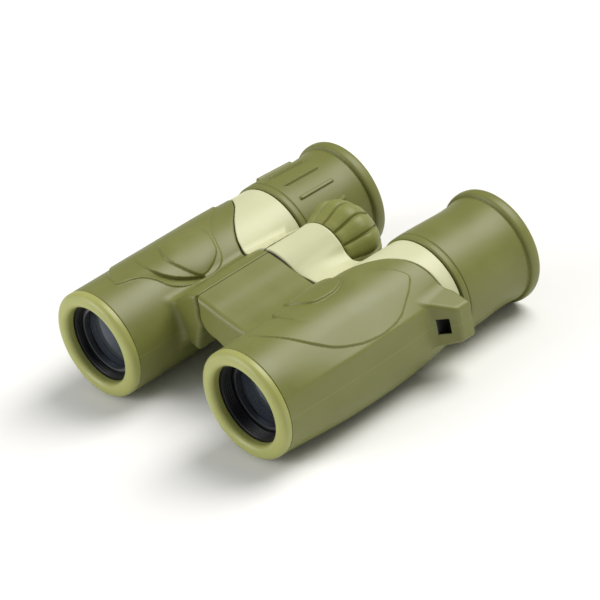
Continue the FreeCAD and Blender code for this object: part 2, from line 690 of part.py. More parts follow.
def make_focus():
    node(turned("focus_screw_rod",
                [("0", "rod_start"), ("rod_radius", "rod_start"), ("rod_radius", "wheel_end - 2"),
                 ("0", "wheel_end - 2")], centre()), "focus_screw")
    node(turned("nut",
                [("rod_radius + 0.06", "24.3"), ("nut_outer", "24.3"), ("nut_outer", "29.4"),
                 ("rod_radius + 0.06", "29.4")], centre()), "focus_nut")
    for side, start in ((LEFT, 24.5), (RIGHT, 27.0)):
        name = SIDE_NAME[side]
        hub = rod(name + "_arm_hub", "knuckle", str(start), str(start + 2.2), centre())
        plate = bar(name + "_arm_plate", side, 0.0, 21.0, size("arm_half"), start, start + 2.2)
        inside = rod(name + "_arm_trim", "cell_outer + 0.03", "0", "60", barrel(side))
        hole = rod(name + "_arm_hole", "nut_outer + 0.06", "0", "60", centre())
        node(cut(name + "_arm", fuse(name + "_arm_whole", [hub, plate]),
                 fuse(name + "_arm_tools", [inside, hole])), name + "_focus_arm")


def make_wheel():
    place = centre()
    node(turned("wheel_core",
                [("rod_radius + 0.02", "wheel_start + 0.3"), ("wheel_core_r", "wheel_start + 0.3"),
                 ("wheel_core_r", "wheel_end - 0.6"), ("7.4", "wheel_end - 0.6"),
                 ("7.4", "wheel_end - 2.0"), ("rod_radius + 0.02", "wheel_end - 2.0")], place),
         "focus_wheel_core")
    grip = turned("wheel_grip",
                  [("wheel_core_r + 0.02", "wheel_start"), ("wheel_front_r - 0.6", "wheel_start"),
                   ("wheel_front_r", "wheel_start + 0.5"), ("wheel_crown_r - 1.8", "68.0"),
                   ("wheel_crown_r - 0.9", "70.0"), ("wheel_crown_r - 0.15", "72.0"),
                   ("wheel_crown_r", "73.1"), ("wheel_crown_r - 0.5", "75.0"),
                   ("wheel_crown_r - 1.65", "77.0"), ("wheel_rear_r", "78.9"),
                   ("wheel_rear_r - 0.6", "wheel_end"), ("wheel_core_r + 0.02", "wheel_end")],
                  place)
    grooves = []
    count = 13
    for i in range(count):
        tool = rod("groove%d" % i, "wheel_groove_r", "60", "90", FreeCAD.Placement())
        angle = math.radians(27.5 + 360.0 * i / count)
        reach = size("wheel_crown_r") + 0.2
        tool.Placement = place.multiply(FreeCAD.Placement(
            V(reach * math.cos(angle), 60, reach * math.sin(angle)),
            FreeCAD.Rotation(V(1, 0, 0), -90)))
        grooves.append(tool)
    node(cut("wheel_grip_cut", grip, fuse("wheel_grooves", grooves)), "focus_wheel_grip")
    node(turned("wheel_cap",
                [("0", "wheel_end - 1.9"), ("7.35", "wheel_end - 1.9"), ("7.35", "wheel_end - 0.5"),
                 ("6.6", "wheel_end + 0.2"), ("0", "wheel_end + 0.2")], place),
         "focus_wheel_cap")


for half in (LEFT, RIGHT):
    make_front(half)
    make_armour(half)
    make_body(half)
    make_bridge_shell(half)
    make_objective(half)
    make_prisms(half)
    make_eyepiece(half)
    make_eyecup(half)
make_hinge()
make_focus()
make_wheel()
doc.recompute()

for obj in doc.Objects:
    bad = [word for word in obj.State if word in ("Invalid", "Error")]
    if bad:
        raise RuntimeError("%s is in state %s" % (obj.Label, bad))
for obj in nodes:
    shape = obj.Shape
    if shape.isNull() or not shape.isValid():
        raise RuntimeError("%s has no valid shape" % obj.Label)
    solids = len(shape.Solids)
    box = shape.BoundBox
    print("%-26s solids %d volume %9.1f  x %.2f %.2f y %.2f %.2f z %.2f %.2f" % (
        obj.Label, solids, shape.Volume, box.XMin, box.XMax, box.YMin, box.YMax,
        box.ZMin, box.ZMax))
    shape.exportStep("parts/%s.step" % obj.Label)
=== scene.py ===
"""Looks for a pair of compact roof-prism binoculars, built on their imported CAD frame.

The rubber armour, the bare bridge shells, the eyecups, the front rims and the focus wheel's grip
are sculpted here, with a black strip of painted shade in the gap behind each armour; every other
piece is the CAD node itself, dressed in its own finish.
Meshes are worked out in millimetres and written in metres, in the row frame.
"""
from __future__ import annotations

import json
import logging
import math
from dataclasses import dataclass, field
from enum import Enum
from typing import Any, Callable, Sequence

import bpy
import numpy as np
from mathutils import Matrix, Vector

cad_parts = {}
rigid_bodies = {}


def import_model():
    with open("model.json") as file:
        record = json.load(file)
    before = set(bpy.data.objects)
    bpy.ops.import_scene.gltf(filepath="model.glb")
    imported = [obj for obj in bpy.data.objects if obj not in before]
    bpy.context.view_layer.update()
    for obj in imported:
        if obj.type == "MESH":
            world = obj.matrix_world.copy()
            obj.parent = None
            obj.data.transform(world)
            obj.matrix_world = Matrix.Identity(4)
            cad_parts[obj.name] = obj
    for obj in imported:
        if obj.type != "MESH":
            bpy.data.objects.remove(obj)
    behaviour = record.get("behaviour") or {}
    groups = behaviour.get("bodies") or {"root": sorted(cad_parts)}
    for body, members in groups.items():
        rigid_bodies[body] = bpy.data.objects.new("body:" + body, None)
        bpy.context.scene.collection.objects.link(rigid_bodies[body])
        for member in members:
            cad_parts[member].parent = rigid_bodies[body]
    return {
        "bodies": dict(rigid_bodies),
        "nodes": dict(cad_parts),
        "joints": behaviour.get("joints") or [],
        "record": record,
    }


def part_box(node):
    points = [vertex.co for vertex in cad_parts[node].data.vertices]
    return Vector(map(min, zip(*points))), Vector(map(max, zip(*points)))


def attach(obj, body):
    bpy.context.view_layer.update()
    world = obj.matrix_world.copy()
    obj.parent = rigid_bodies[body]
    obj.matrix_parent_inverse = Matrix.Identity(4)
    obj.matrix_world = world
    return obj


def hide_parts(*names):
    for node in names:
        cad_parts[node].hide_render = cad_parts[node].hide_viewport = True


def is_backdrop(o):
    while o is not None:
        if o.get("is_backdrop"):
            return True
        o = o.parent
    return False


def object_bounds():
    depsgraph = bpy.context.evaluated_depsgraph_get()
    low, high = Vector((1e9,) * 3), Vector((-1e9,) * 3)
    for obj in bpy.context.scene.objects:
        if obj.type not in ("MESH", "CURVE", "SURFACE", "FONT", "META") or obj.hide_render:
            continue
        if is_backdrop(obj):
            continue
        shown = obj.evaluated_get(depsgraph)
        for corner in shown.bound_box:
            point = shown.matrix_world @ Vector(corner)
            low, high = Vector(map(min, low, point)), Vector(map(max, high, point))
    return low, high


LOG = logging.getLogger("binoculars")
MM = 0.001
# Height of the barrels' axes, where the two halves of every mould part, in millimetres.
PARTING_Z: float = 18.1
# Half the distance between the barrels' axes, in millimetres.
HALF_SPACING: float = 32.43
FULL_STEP: float = 0.34
# The armour's rear edge runs aslant, so a length along the barrel is about this much distance.
ASLANT: float = 0.74
# Blender's wave texture multiplies its coordinate by this before it makes bands.
WAVE_RATE: float = 20.0
Array = np.ndarray
Points = Sequence[tuple[float, float]]


class Side(Enum):
    """A half of the binoculars, named from the user's side of the eyecups."""

    LEFT = 1
    RIGHT = -1

    @property
    def word(self) -> str:
        """The half's name as it is used in node names."""
        return self.name.lower()


# ------------------------------------------------------------------------------ small maths

def smoothstep(value: Array, low: float, high: float) -> Array:
    """Rises smoothly from 0 at low to 1 at high."""
    t = np.clip((value - low) / (high - low), 0.0, 1.0)
    return t * t * (3.0 - 2.0 * t)


def soft_max(first: Array, second: Array, radius: float) -> Array:
    """Largest of two distances, rounded where they meet.

    Args:
        first: one signed distance, in millimetres.
        second: the other.
        radius: how far from the meeting line the rounding reaches.

    Returns:
        The rounded intersection.
    """
    h = np.clip(0.5 + 0.5 * (first - second) / radius, 0.0, 1.0)
    return second + (first - second) * h + radius * h * (1.0 - h)


def soft_min(first: Array, second: Array, radius: float) -> Array:
    """Smallest of two distances, with a fillet of about that radius where they meet."""
    return -soft_max(-first, -second, radius)


def curve_through(points: Points, steps: int = 8, closed: bool = False) -> Array:
    """Smooth curve through points.

    Args:
        points: places the curve passes.
        steps: samples between two places.
        closed: whether it returns to its start.

    Returns:
        The samples, one row each.
    """
    p = np.array(points, float)
    count = len(p)
    rows = []
    for i in range(count if closed else count - 1):
        if closed:
            a, b, c, d = (p[(i + k) % count] for k in (-1, 0, 1, 2))
        else:
            b, c = p[i], p[i + 1]
            a = p[i - 1] if i else 2 * b - c
            d = p[i + 2] if i + 2 < count else 2 * c - b
        for t in np.arange(steps) / steps:
            rows.append(0.5 * (2 * b + (c - a) * t + (2 * a - 5 * b + 4 * c - d) * t ** 2
                               + (3 * b - a - 3 * c + d) * t ** 3))
    if not closed:
        rows.append(p[-1])
    return np.array(rows)


def distance_to_line(line: Array, a: Array, b: Array) -> Array:
    """Unsigned distance from places (a, b) to an open chain of points."""
    best = np.full(a.shape, 1e9)
    for (ax, ay), (bx, by) in zip(line[:-1], line[1:]):
        dx, dy = bx - ax, by - ay
        t = np.clip(((a - ax) * dx + (b - ay) * dy) / max(dx * dx + dy * dy, 1e-12), 0, 1)
        best = np.minimum(best, (a - ax - t * dx) ** 2 + (b - ay - t * dy) ** 2)
    return np.sqrt(best)


def distance_to_outline(outline: Array, a: Array, b: Array) -> Array:
    """Signed distance from places (a, b) to a closed outline, negative inside."""
    ring = np.vstack([outline, outline[:1]])
    inside = np.zeros(a.shape, bool)
    for (ax, ay), (bx, by) in zip(ring[:-1], ring[1:]):
        if ay != by:
            crosses = (ay > b) != (by > b)
            inside ^= crosses & (a < (bx - ax) * (b - ay) / (by - ay) + ax)
    far = distance_to_line(ring, a, b)
    return np.where(inside, -far, far)


@dataclass
class Chart:
    """A quantity stored on an even grid over two coordinates and read back smoothly."""

    low: tuple[float, float]
    step: tuple[float, float]
    values: Array

    @classmethod
    def drawn(cls, low: tuple[float, float], high: tuple[float, float],
              step: tuple[float, float], rule: Callable[[Array, Array], Array]) -> "Chart":
        """Fills a chart by a rule.

        Args:
            low: lowest corner.
            high: highest corner.
            step: grid pitch along each coordinate.
            rule: gives the quantity at arrays of places.

        Returns:
            The chart.
        """
        a = np.arange(low[0], high[0] + step[0], step[0])
        b = np.arange(low[1], high[1] + step[1], step[1])
        grid_a, grid_b = np.meshgrid(a, b, indexing="ij")
        return cls(low, step, rule(grid_a, grid_b))

    def at(self, a: Array, b: Array) -> Array:
        """Quantity at places, by bilinear reading."""
        x = np.clip((a - self.low[0]) / self.step[0], 0, self.values.shape[0] - 1.001)
        y = np.clip((b - self.low[1]) / self.step[1], 0, self.values.shape[1] - 1.001)
        i, j = x.astype(int), y.astype(int)
        x, y = x - i, y - j
        v = self.values
        return ((v[i, j] * (1 - x) + v[i + 1, j] * x) * (1 - y)
                + (v[i, j + 1] * (1 - x) + v[i + 1, j + 1] * x) * y)


def blurred(values: Array, sigma: float, axis: int) -> Array:
    """Values softened along one axis by a bell curve of that many samples."""
    reach = max(1, int(3 * sigma))
    bell = np.exp(-0.5 * (np.arange(-reach, reach + 1) / sigma) ** 2)
    bell /= bell.sum()
    pad = [(0, 0)] * values.ndim
    pad[axis] = (reach, reach)
    wide = np.pad(values, pad, mode="edge")
    return np.apply_along_axis(lambda row: np.convolve(row, bell, "valid"), axis, wide)


# ------------------------------------------------------------------------------ meshing

@dataclass
class ImplicitForm:
    """A solid given by a signed distance in millimetres, meshed as a closed skin."""

    distance: Callable[[Array], Array]
    low: tuple[float, float, float]
    high: tuple[float, float, float]
    step: float = 0.36
    block: int = 4

    def _sampled(self) -> Array:
        """Distances on the grid, worked out only in blocks near the surface."""
        low, high = np.array(self.low), np.array(self.high)
        blocks = np.ceil((high - low) / (self.step * self.block)).astype(int) + 1
        size = self.step * self.block
        centres = np.stack(np.meshgrid(*[np.arange(n) for n in blocks], indexing="ij"), -1)
        coarse = self.distance((low + (centres + 0.5) * size - self.step / 2).reshape(-1, 3))
        coarse = coarse.reshape(blocks)
        near = np.abs(coarse) < size * 0.866 * 1.5 + self.step
        grid = np.where(coarse < 0, -9.0, 9.0).astype(np.float32)
        grid = np.broadcast_to(grid[..., None, None, None], (*blocks, *[self.block] * 3)).copy()
        inner = np.stack(np.meshgrid(*[np.arange(self.block)] * 3, indexing="ij"), -1)
        chosen = np.argwhere(near)
        for start in range(0, len(chosen), 6000):
            part = chosen[start:start + 6000]
            places = (part[:, None, None, None, :] * self.block + inner) * self.step + low
            values = self.distance(places.reshape(-1, 3)).reshape(places.shape[:-1])
            grid[tuple(part.T)] = values
        grid = grid.transpose(0, 3, 1, 4, 2, 5)
        return grid.reshape(blocks * self.block)

    def slope(self, places: Array) -> Array:
        """Gradient of the distance at places."""
        h = 0.04
        parts = []
        for axis in range(3):
            shift = np.zeros(3)
            shift[axis] = h
            parts.append(self.distance(places + shift) - self.distance(places - shift))
        return np.stack(parts, -1) / (2 * h)

    def mesh(self) -> tuple[Array, Array, Array]:
        """Meshes the form.

        Returns:
            Vertices, four-sided faces and outward normals.
        """
        grid = self._sampled()
        solid = grid < 0
        corners = [(i, j, k) for i in (0, 1) for j in (0, 1) for k in (0, 1)]
        shape = np.array(grid.shape) - 1

        def cut(values: Array, c: tuple[int, int, int]) -> Array:
            return values[c[0]:c[0] + shape[0], c[1]:c[1] + shape[1], c[2]:c[2] + shape[2]]

        total = sum(cut(solid, c).astype(np.uint8) for c in corners)
        cells = np.argwhere((total > 0) & (total < 8))
        value = {c: grid[tuple((cells + c).T)] for c in corners}
        summed = np.zeros((len(cells), 3))
        crossed = np.zeros(len(cells))
        for c in corners:
            for axis in range(3):
                if c[axis]:
                    continue
                d = tuple(int(c[k] or k == axis) for k in range(3))
                change = (value[c] < 0) != (value[d] < 0)
                t = np.where(change, value[c] / np.where(change, value[c] - value[d], 1), 0)
                at = np.array(c, float) + t[:, None] * (np.array(d) - np.array(c))
                summed += at * change[:, None]
                crossed += change
        verts = (cells + summed / crossed[:, None]) * self.step + np.array(self.low)
        number = np.full(shape, -1, np.int32)
        number[tuple(cells.T)] = np.arange(len(cells))
        faces = []
        for axis in range(3):
            b, c = (axis + 1) % 3, (axis + 2) % 3
            here = [slice(1, -1)] * 3
            ahead = [slice(1, -1)] * 3
            here[axis] = slice(0, -1)
            ahead[axis] = slice(1, None)
            first, second = solid[tuple(here)], solid[tuple(ahead)]
            edges = np.argwhere(first != second)
            base = edges + 1
            base[:, axis] -= 1
            ring = []
            for db, dc in ((-1, -1), (0, -1), (0, 0), (-1, 0)):
                at = base.copy()
                at[:, b] += db
                at[:, c] += dc
                ring.append(number[tuple(at.T)])
            quad = np.stack(ring, -1)
            outward = first[tuple(edges.T)]
            quad[~outward] = quad[~outward][:, ::-1]
            faces.append(quad)
        for _ in range(3):
            push = self.slope(verts)
            length = np.maximum((push ** 2).sum(1), 0.2)
            move = push * (self.distance(verts) / length)[:, None]
            reach = np.linalg.norm(move, axis=1)[:, None]
            verts -= move * np.minimum(1.0, 0.25 * self.step / np.maximum(reach, 1e-9))
        normals = self.slope(verts)
        normals /= np.maximum(np.linalg.norm(normals, axis=1), 1e-9)[:, None]
        return verts, np.vstack(faces), normals


def lathe(profile: Points, segments: int,
          shape: Callable[[Array, Array, Array], Array] | None = None) -> tuple[Array, Array]:
    """Closed ring turned about the Y axis from a closed profile.

    Args:
        profile: (radius, station) corners in order round the section.
        segments: steps round the axis.
        shape: optional rule giving each point's radius from its angle, radius and station.

    Returns:
        Vertices about the axis and four-sided faces.
    """
    section = np.array(profile, float)
    turn = np.linspace(0, 2 * np.pi, segments, endpoint=False)
    angle, radius = np.meshgrid(turn, section[:, 0], indexing="ij")
    station = np.broadcast_to(section[:, 1], radius.shape)
    if shape is not None:
        radius = shape(angle, radius, station)
    verts = np.stack([radius * np.cos(angle), station, radius * np.sin(angle)], -1)
    i, j = np.meshgrid(np.arange(segments), np.arange(len(section)), indexing="ij")
    ii, jj = (i + 1) % segments, (j + 1) % len(section)
    n = len(section)
    faces = np.stack([i * n + j, ii * n + j, ii * n + jj, i * n + jj], -1)
    return verts.reshape(-1, 3), faces.reshape(-1, 4)


def signed_volume(verts: Array, faces: Array) -> float:
    """Volume that four-sided faces enclose, negative when they face inwards."""
    a, b, c, d = (verts[faces[:, k]] for k in range(4))
    return float((np.einsum("ij,ij->i", a, np.cross(b, c))
                  + np.einsum("ij,ij->i", a, np.cross(c, d))).sum() / 6)


def add_mesh(name: str, verts: Array, faces: Array, normals: Array | None = None,
             crease_deg: float = 32.0) -> bpy.types.Object:
    """Adds a mesh object to the scene.

    Args:
        name: piece name.
        verts: vertices in millimetres, in the row frame.
        faces: four-sided faces.
        normals: optional shading normals, one per vertex.
        crease_deg: edges sharper than this are shaded sharp where no normals are given.

    Returns:
        The new object.
    """
    if signed_volume(verts, faces) < 0:
        faces = faces[:, ::-1]
    mesh = bpy.data.meshes.new(name)
    mesh.vertices.add(len(verts))
    mesh.vertices.foreach_set("co", (verts * MM).astype(np.float32).ravel())
    mesh.loops.add(faces.size)
    mesh.loops.foreach_set("vertex_index", faces.astype(np.int32).ravel())
    mesh.polygons.add(len(faces))
    mesh.polygons.foreach_set("loop_start", np.arange(0, faces.size, 4, dtype=np.int32))
    mesh.update(calc_edges=True)
    mesh.validate()
    mesh.polygons.foreach_set("use_smooth", np.ones(len(mesh.polygons), bool))
    if normals is None:
        mesh.set_sharp_from_angle(angle=math.radians(crease_deg))
    else:
        mesh.normals_split_custom_set_from_vertices(normals.astype(np.float32))
    item = bpy.data.objects.new(name, mesh)
    bpy.context.scene.collection.objects.link(item)
    return item


# ------------------------------------------------------------------------------ finishes

def linear(hex_code: str) -> tuple[float, float, float, float]:
    """Turns an sRGB hex colour to linear RGBA."""
    code = hex_code.lstrip("#")
    parts = [int(code[i:i + 2], 16) / 255 for i in (0, 2, 4)]
    out = [c / 12.92 if c <= 0.04045 else ((c + 0.055) / 1.055) ** 2.4 for c in parts]
    return out[0], out[1], out[2], 1.0


def add_node(tree: bpy.types.NodeTree, kind: str, settings: dict[str, Any] | None = None,
             links: dict[str | int, Any] | None = None) -> bpy.types.Node:
    """Adds a shader node.

    Args:
        tree: node tree it goes in.
        kind: node type, such as ShaderNodeBump.
        settings: attributes or input values by name.
        links: output sockets by the name or number of the input they feed.

    Returns:
        The node.
    """
    node = tree.nodes.new(kind)
    for key, value in (settings or {}).items():
        if hasattr(node, key):
            setattr(node, key, value)
        else:
            node.inputs[key].default_value = value
    for key, socket in (links or {}).items():
        tree.links.new(socket, node.inputs[key])
    return node


def scale_for(period_mm: float) -> float:
    """Noise scale that gives features of about this size, for coordinates in metres."""
    return 1.0 / (period_mm * MM)


def fresh_material(name: str) -> tuple[bpy.types.Material, bpy.types.NodeTree]:
    """New node material with an empty tree."""
    material = bpy.data.materials.new(name)
    material.use_nodes = True
    material.node_tree.nodes.clear()
    return material, material.node_tree


def within(tree: bpy.types.NodeTree, value: bpy.types.NodeSocket, centre: float,
           half: float) -> bpy.types.NodeSocket:
    """One where a value lies within a half width of a centre, nought elsewhere."""
    node = add_node(tree, "ShaderNodeMath", {"operation": "COMPARE"}, {0: value})
    node.inputs[1].default_value = centre
    node.inputs[2].default_value = half
    return node.outputs[0]


def product(tree: bpy.types.NodeTree, first: bpy.types.NodeSocket,
            second: bpy.types.NodeSocket) -> bpy.types.NodeSocket:
    """Two values multiplied."""
    node = add_node(tree, "ShaderNodeMath", {"operation": "MULTIPLY"}, {0: first, 1: second})
    return node.outputs[0]


def overlaid(tree: bpy.types.NodeTree, base: bpy.types.NodeSocket, colour: str,
             share: bpy.types.NodeSocket) -> bpy.types.NodeSocket:
    """A colour laid over a base where its share is one."""
    node = add_node(tree, "ShaderNodeMix", {"data_type": "RGBA", "blend_type": "MIX"},
                    {"Factor": share, 6: base})
    node.inputs[7].default_value = linear(colour)
    return node.outputs[2]


def noise(tree: bpy.types.NodeTree, place: bpy.types.Node, period_mm: float,
          detail: float = 2.0, roughness: float = 0.5) -> bpy.types.NodeSocket:
    """Noise with features of about this size, laid out on the object itself."""
    node = add_node(tree, "ShaderNodeTexNoise",
                    {"Scale": scale_for(period_mm), "Detail": detail, "Roughness": roughness},
                    {"Vector": place.outputs["Object"]})
    return node.outputs["Fac"]


def spread(tree: bpy.types.NodeTree, value: bpy.types.NodeSocket, low: float, high: float,
           start: tuple[float, float] = (0.0, 1.0)) -> bpy.types.NodeSocket:
    """A value rescaled from its own range to another, held at the ends."""
    node = add_node(tree, "ShaderNodeMapRange",
                    {"From Min": start[0], "From Max": start[1], "To Min": low, "To Max": high},
                    {"Value": value})
    return node.outputs["Result"]


def shaded(tree: bpy.types.NodeTree, settings: dict[str, Any],
           links: dict[str | int, Any]) -> bpy.types.Node:
    """Adds the surface shader and the material's output.

    Args:
        tree: node tree they go in.
        settings: shader inputs that are the same all over.
        links: shader inputs that vary over the surface.

    Returns:
        The shader.
    """
    shader = add_node(tree, "ShaderNodeBsdfPrincipled", settings, links)
    add_node(tree, "ShaderNodeOutputMaterial", None, {"Surface": shader.outputs["BSDF"]})
    return shader


# The line that the mould leaves where its halves meet: a shade paler, and this wide each way.
LINE_COLOUR = "#83864A"
LINE_HALF: float = 0.09
# The strap slots' middle and half size in the row frame, and the near-black of the painted shade on
# their walls, where little light reaches into the deep pocket.
SLOT_MIDDLE: tuple[float, float, float] = (HALF_SPACING + 19.85, 12.5, PARTING_Z)
SLOT_HALF: tuple[float, float, float] = (1.5, 6.4, 2.45)
SLOT_SHADE_COLOUR = "#0B0B06"


@dataclass(frozen=True)
class Moulded:
    """Rubber or plastic from a mould: one colour through, a fine matt skin, faint handling marks."""

    name: str
    colour: str
    worn: str
    roughness: float
    ior: float = 1.5
    grain_mm: float = 0.35
    grain_depth_mm: float = 0.006
    cloud_mm: float = 14.0
    # With seam set, the parting line is drawn and the strap slots' walls get painted shade.
    seam: bool = False

    def material(self) -> bpy.types.Material:
        """Builds the material."""
        material, tree = fresh_material(self.name)
        place = add_node(tree, "ShaderNodeTexCoord")
        cloud = noise(tree, place, self.cloud_mm, 3.0, 0.55)
        tint = add_node(tree, "ShaderNodeMix", {"data_type": "RGBA", "blend_type": "MIX"},
                        {"Factor": spread(tree, cloud, 0.0, 1.0, (0.38, 0.68))})
        tint.inputs[6].default_value = linear(self.colour)
        tint.inputs[7].default_value = linear(self.worn)
        gloss = spread(tree, cloud, self.roughness - 0.05, self.roughness + 0.05, (0.3, 0.7))
        bump = add_node(tree, "ShaderNodeBump",
                        {"Strength": 0.6, "Distance": self.grain_depth_mm * MM},
                        {"Height": noise(tree, place, self.grain_mm)})
        colour = self._marked(tree, place, tint.outputs[2]) if self.seam else tint.outputs[2]
        shaded(tree, {"IOR": self.ior},
               {"Base Color": colour, "Roughness": gloss, "Normal": bump.outputs["Normal"]})
        return material

    @staticmethod
    def _marked(tree: bpy.types.NodeTree, place: bpy.types.Node,
                base: bpy.types.NodeSocket) -> bpy.types.NodeSocket:
        """Colour with the mould's parting line, and painted shade on the walls of the strap slots,
        coloured near-black.
        """
        spot = add_node(tree, "ShaderNodeSeparateXYZ", None, {"Vector": place.outputs["Object"]})
        x, y, z = (spot.outputs[axis] for axis in "XYZ")
        base = overlaid(tree, base, LINE_COLOUR, within(tree, z, PARTING_Z * MM, LINE_HALF * MM))
        aside = add_node(tree, "ShaderNodeMath", {"operation": "ABSOLUTE"}, {0: x})
        slot = within(tree, aside.outputs[0], SLOT_MIDDLE[0] * MM, SLOT_HALF[0] * MM)
        slot = product(tree, slot, within(tree, y, SLOT_MIDDLE[1] * MM, SLOT_HALF[1] * MM))
        slot = product(tree, slot, within(tree, z, SLOT_MIDDLE[2] * MM, SLOT_HALF[2] * MM))
        # Painted shade: the slot walls are coloured near-black where little light gets in.
        return overlaid(tree, base, SLOT_SHADE_COLOUR, slot)


@dataclass(frozen=True)
class Turned:
    """Metal cut on a lathe: fine rings round the axis, seen as a soft sheen."""

    name: str
    colour: str
    roughness: float
    metallic: float = 1.0
    ring_mm: float = 0.3

    def material(self) -> bpy.types.Material:
        """Builds the material."""
        material, tree = fresh_material(self.name)
        place = add_node(tree, "ShaderNodeTexCoord")
        rings = add_node(tree, "ShaderNodeTexWave",
                         {"wave_type": "BANDS", "bands_direction": "Y",
                          "Scale": scale_for(self.ring_mm) / WAVE_RATE, "Distortion": 0.6},
                         {"Vector": place.outputs["Object"]})
        smudge = noise(tree, place, 3.0)
        gloss = spread(tree, smudge, self.roughness - 0.06, self.roughness + 0.08)
        bump = add_node(tree, "ShaderNodeBump", {"Strength": 0.25, "Distance": 0.01 * MM},
                        {"Height": rings.outputs["Fac"]})
        shader = shaded(tree, {"Metallic": self.metallic},
                        {"Roughness": gloss, "Normal": bump.outputs["Normal"]})
        shader.inputs["Base Color"].default_value = linear(self.colour)
        return material


@dataclass(frozen=True)
class Optical:
    """Polished optical glass, plain or with a thin coating that tints its reflections."""

    name: str
    body: str
    ior: float
    sheen: str
    clear: float
    roughness: float = 0.02

    def material(self) -> bpy.types.Material:
        """Builds the material."""
        material, tree = fresh_material(self.name)
        place = add_node(tree, "ShaderNodeTexCoord")
        film = noise(tree, place, 4.0)
        shader = shaded(tree, {"IOR": self.ior, "Transmission Weight": self.clear},
                        {"Roughness": spread(tree, film, self.roughness, self.roughness + 0.03)})
        shader.inputs["Base Color"].default_value = linear(self.body)
        shader.inputs["Specular Tint"].default_value = linear(self.sheen)
        return material


class Finishes:
    """Every finish on the object, built once."""

    def __init__(self) -> None:
        """Builds the materials."""
        # Thermoplastic rubber, injection moulded over the body: soft olive with a satin skin, its
        # parting line, and painted shade on the walls of the strap slots.
        self.armour = Moulded("tpr_rubber_moulded_olive", "#727539", "#787B40", 0.43,
                              seam=True).material()
        # The same olive rubber, painted lighter where the front rims face the lamps: painted light.
        # Left glossier by the mould.
        self.rim = Moulded("tpr_rubber_moulded_light_olive", "#9DA058", "#A3A660", 0.38).material()
        # The wheel's grip, a shade paler than the armour and more matt.
        self.grip = Moulded("tpr_rubber_moulded_grip", "#7D803F", "#838646", 0.5).material()
        # Rubber of the eyecups, satin moulded.
        self.eyecup = Moulded("tpr_rubber_moulded_eyecup", "#6F7235", "#75783B", 0.45).material()
        # ABS, injection moulded and lightly textured: warm cream.
        self.shell = Moulded("abs_moulded_cream", "#CBCCA4", "#CFD0AA", 0.45).material()
        # ABS body under the armour, same granulate, plain mould.
        self.body = Moulded("abs_moulded_inner_cream", "#C9CA9C", "#CFD0A4", 0.5).material()
        # Black polycarbonate, moulded matt so that stray light dies in the tubes.
        self.black = Moulded("polycarbonate_moulded_black", "#0B0B0C", "#111112", 0.6).material()
        # Aluminium, turned and black anodised: dark with a thin ring sheen.
        self.ring = Turned("aluminium_anodised_black", "#17181A", 0.38, 0.6).material()
        # Aluminium, turned and grey anodised: the retaining ring that shows round the glass.
        self.grey = Turned("aluminium_anodised_grey", "#6E6F73", 0.34, 0.8).material()
        # Stainless steel, ground: hinge axle, washers, focus screw, prism clips.
        self.steel = Turned("stainless_steel_ground", "#B9BABC", 0.28).material()
        # Zinc, die cast: dull grey focus arms.
        self.zinc = Turned("zinc_die_cast", "#8C8D90", 0.5).material()
        # Brass, turned: the focus nut.
        self.brass = Turned("brass_turned", "#C8A85A", 0.3).material()
        # Crown and flint glass, polished, with a blue anti-reflection coating.
        self.lens = Optical("glass_polished_coated", "#3A4048", 1.52, "#9DB4D8", 0.35).material()
        # Prism glass, polished and uncoated.
        self.prism = Optical("glass_polished_prism", "#E6EDE9", 1.57, "#FFFFFF", 0.85).material()


def dress(item: bpy.types.Object, material: bpy.types.Material) -> None:
    """Gives an object one material in place of what it had."""
    item.data.materials.clear()
    item.data.materials.append(material)


# ------------------------------------------------------------------------------ the object

@dataclass
class Layout:
    """Where the CAD frame puts the barrels and the hinge, in millimetres."""

    barrel_x: float
    axis_z: float
    front_y: float
    hinge_z: float

    @classmethod
    def from_frame(cls, frame: dict[str, Any]) -> "Layout":
        """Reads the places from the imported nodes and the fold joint."""
        low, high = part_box("left_objective_rim")
        fold = next(j for j in frame["joints"] if j["name"] == "fold")
        return cls(barrel_x=(low.x + high.x) / 2 / MM, axis_z=(low.z + high.z) / 2 / MM,
                   front_y=low.y / MM, hinge_z=fold["pos_m"][2] / MM)

    @property
    def rise(self) -> float:
        """Height of the hinge axis above the barrel axes."""
        return self.hinge_z - self.axis_z

    def to_row(self, local: Array, side: Side) -> Array:
        """Moves barrel places (outward, station, up) to the row frame."""
        x = side.value * (local[:, 0] + self.barrel_x)
        return np.stack([x, local[:, 1] + self.front_y, local[:, 2] + self.axis_z], -1)


def sculpted(name: str, form: ImplicitForm, layout: Layout, side: Side,
             own_normals: bool = True) -> bpy.types.Object:
    """Meshes a form given at barrel places and adds it on its side of the hinge.

    Args:
        name: piece name.
        form: the form, as (outward, station, up).
        layout: where the barrels lie.
        side: which barrel it belongs to.
        own_normals: whether it's shaded by the form's own slope.

    Returns:
        The piece.
    """
    verts, faces, normals = form.mesh()
    mirrored = normals * np.array([side.value, 1, 1])
    return add_mesh(name, layout.to_row(verts, side), faces, mirrored if own_normals else None)


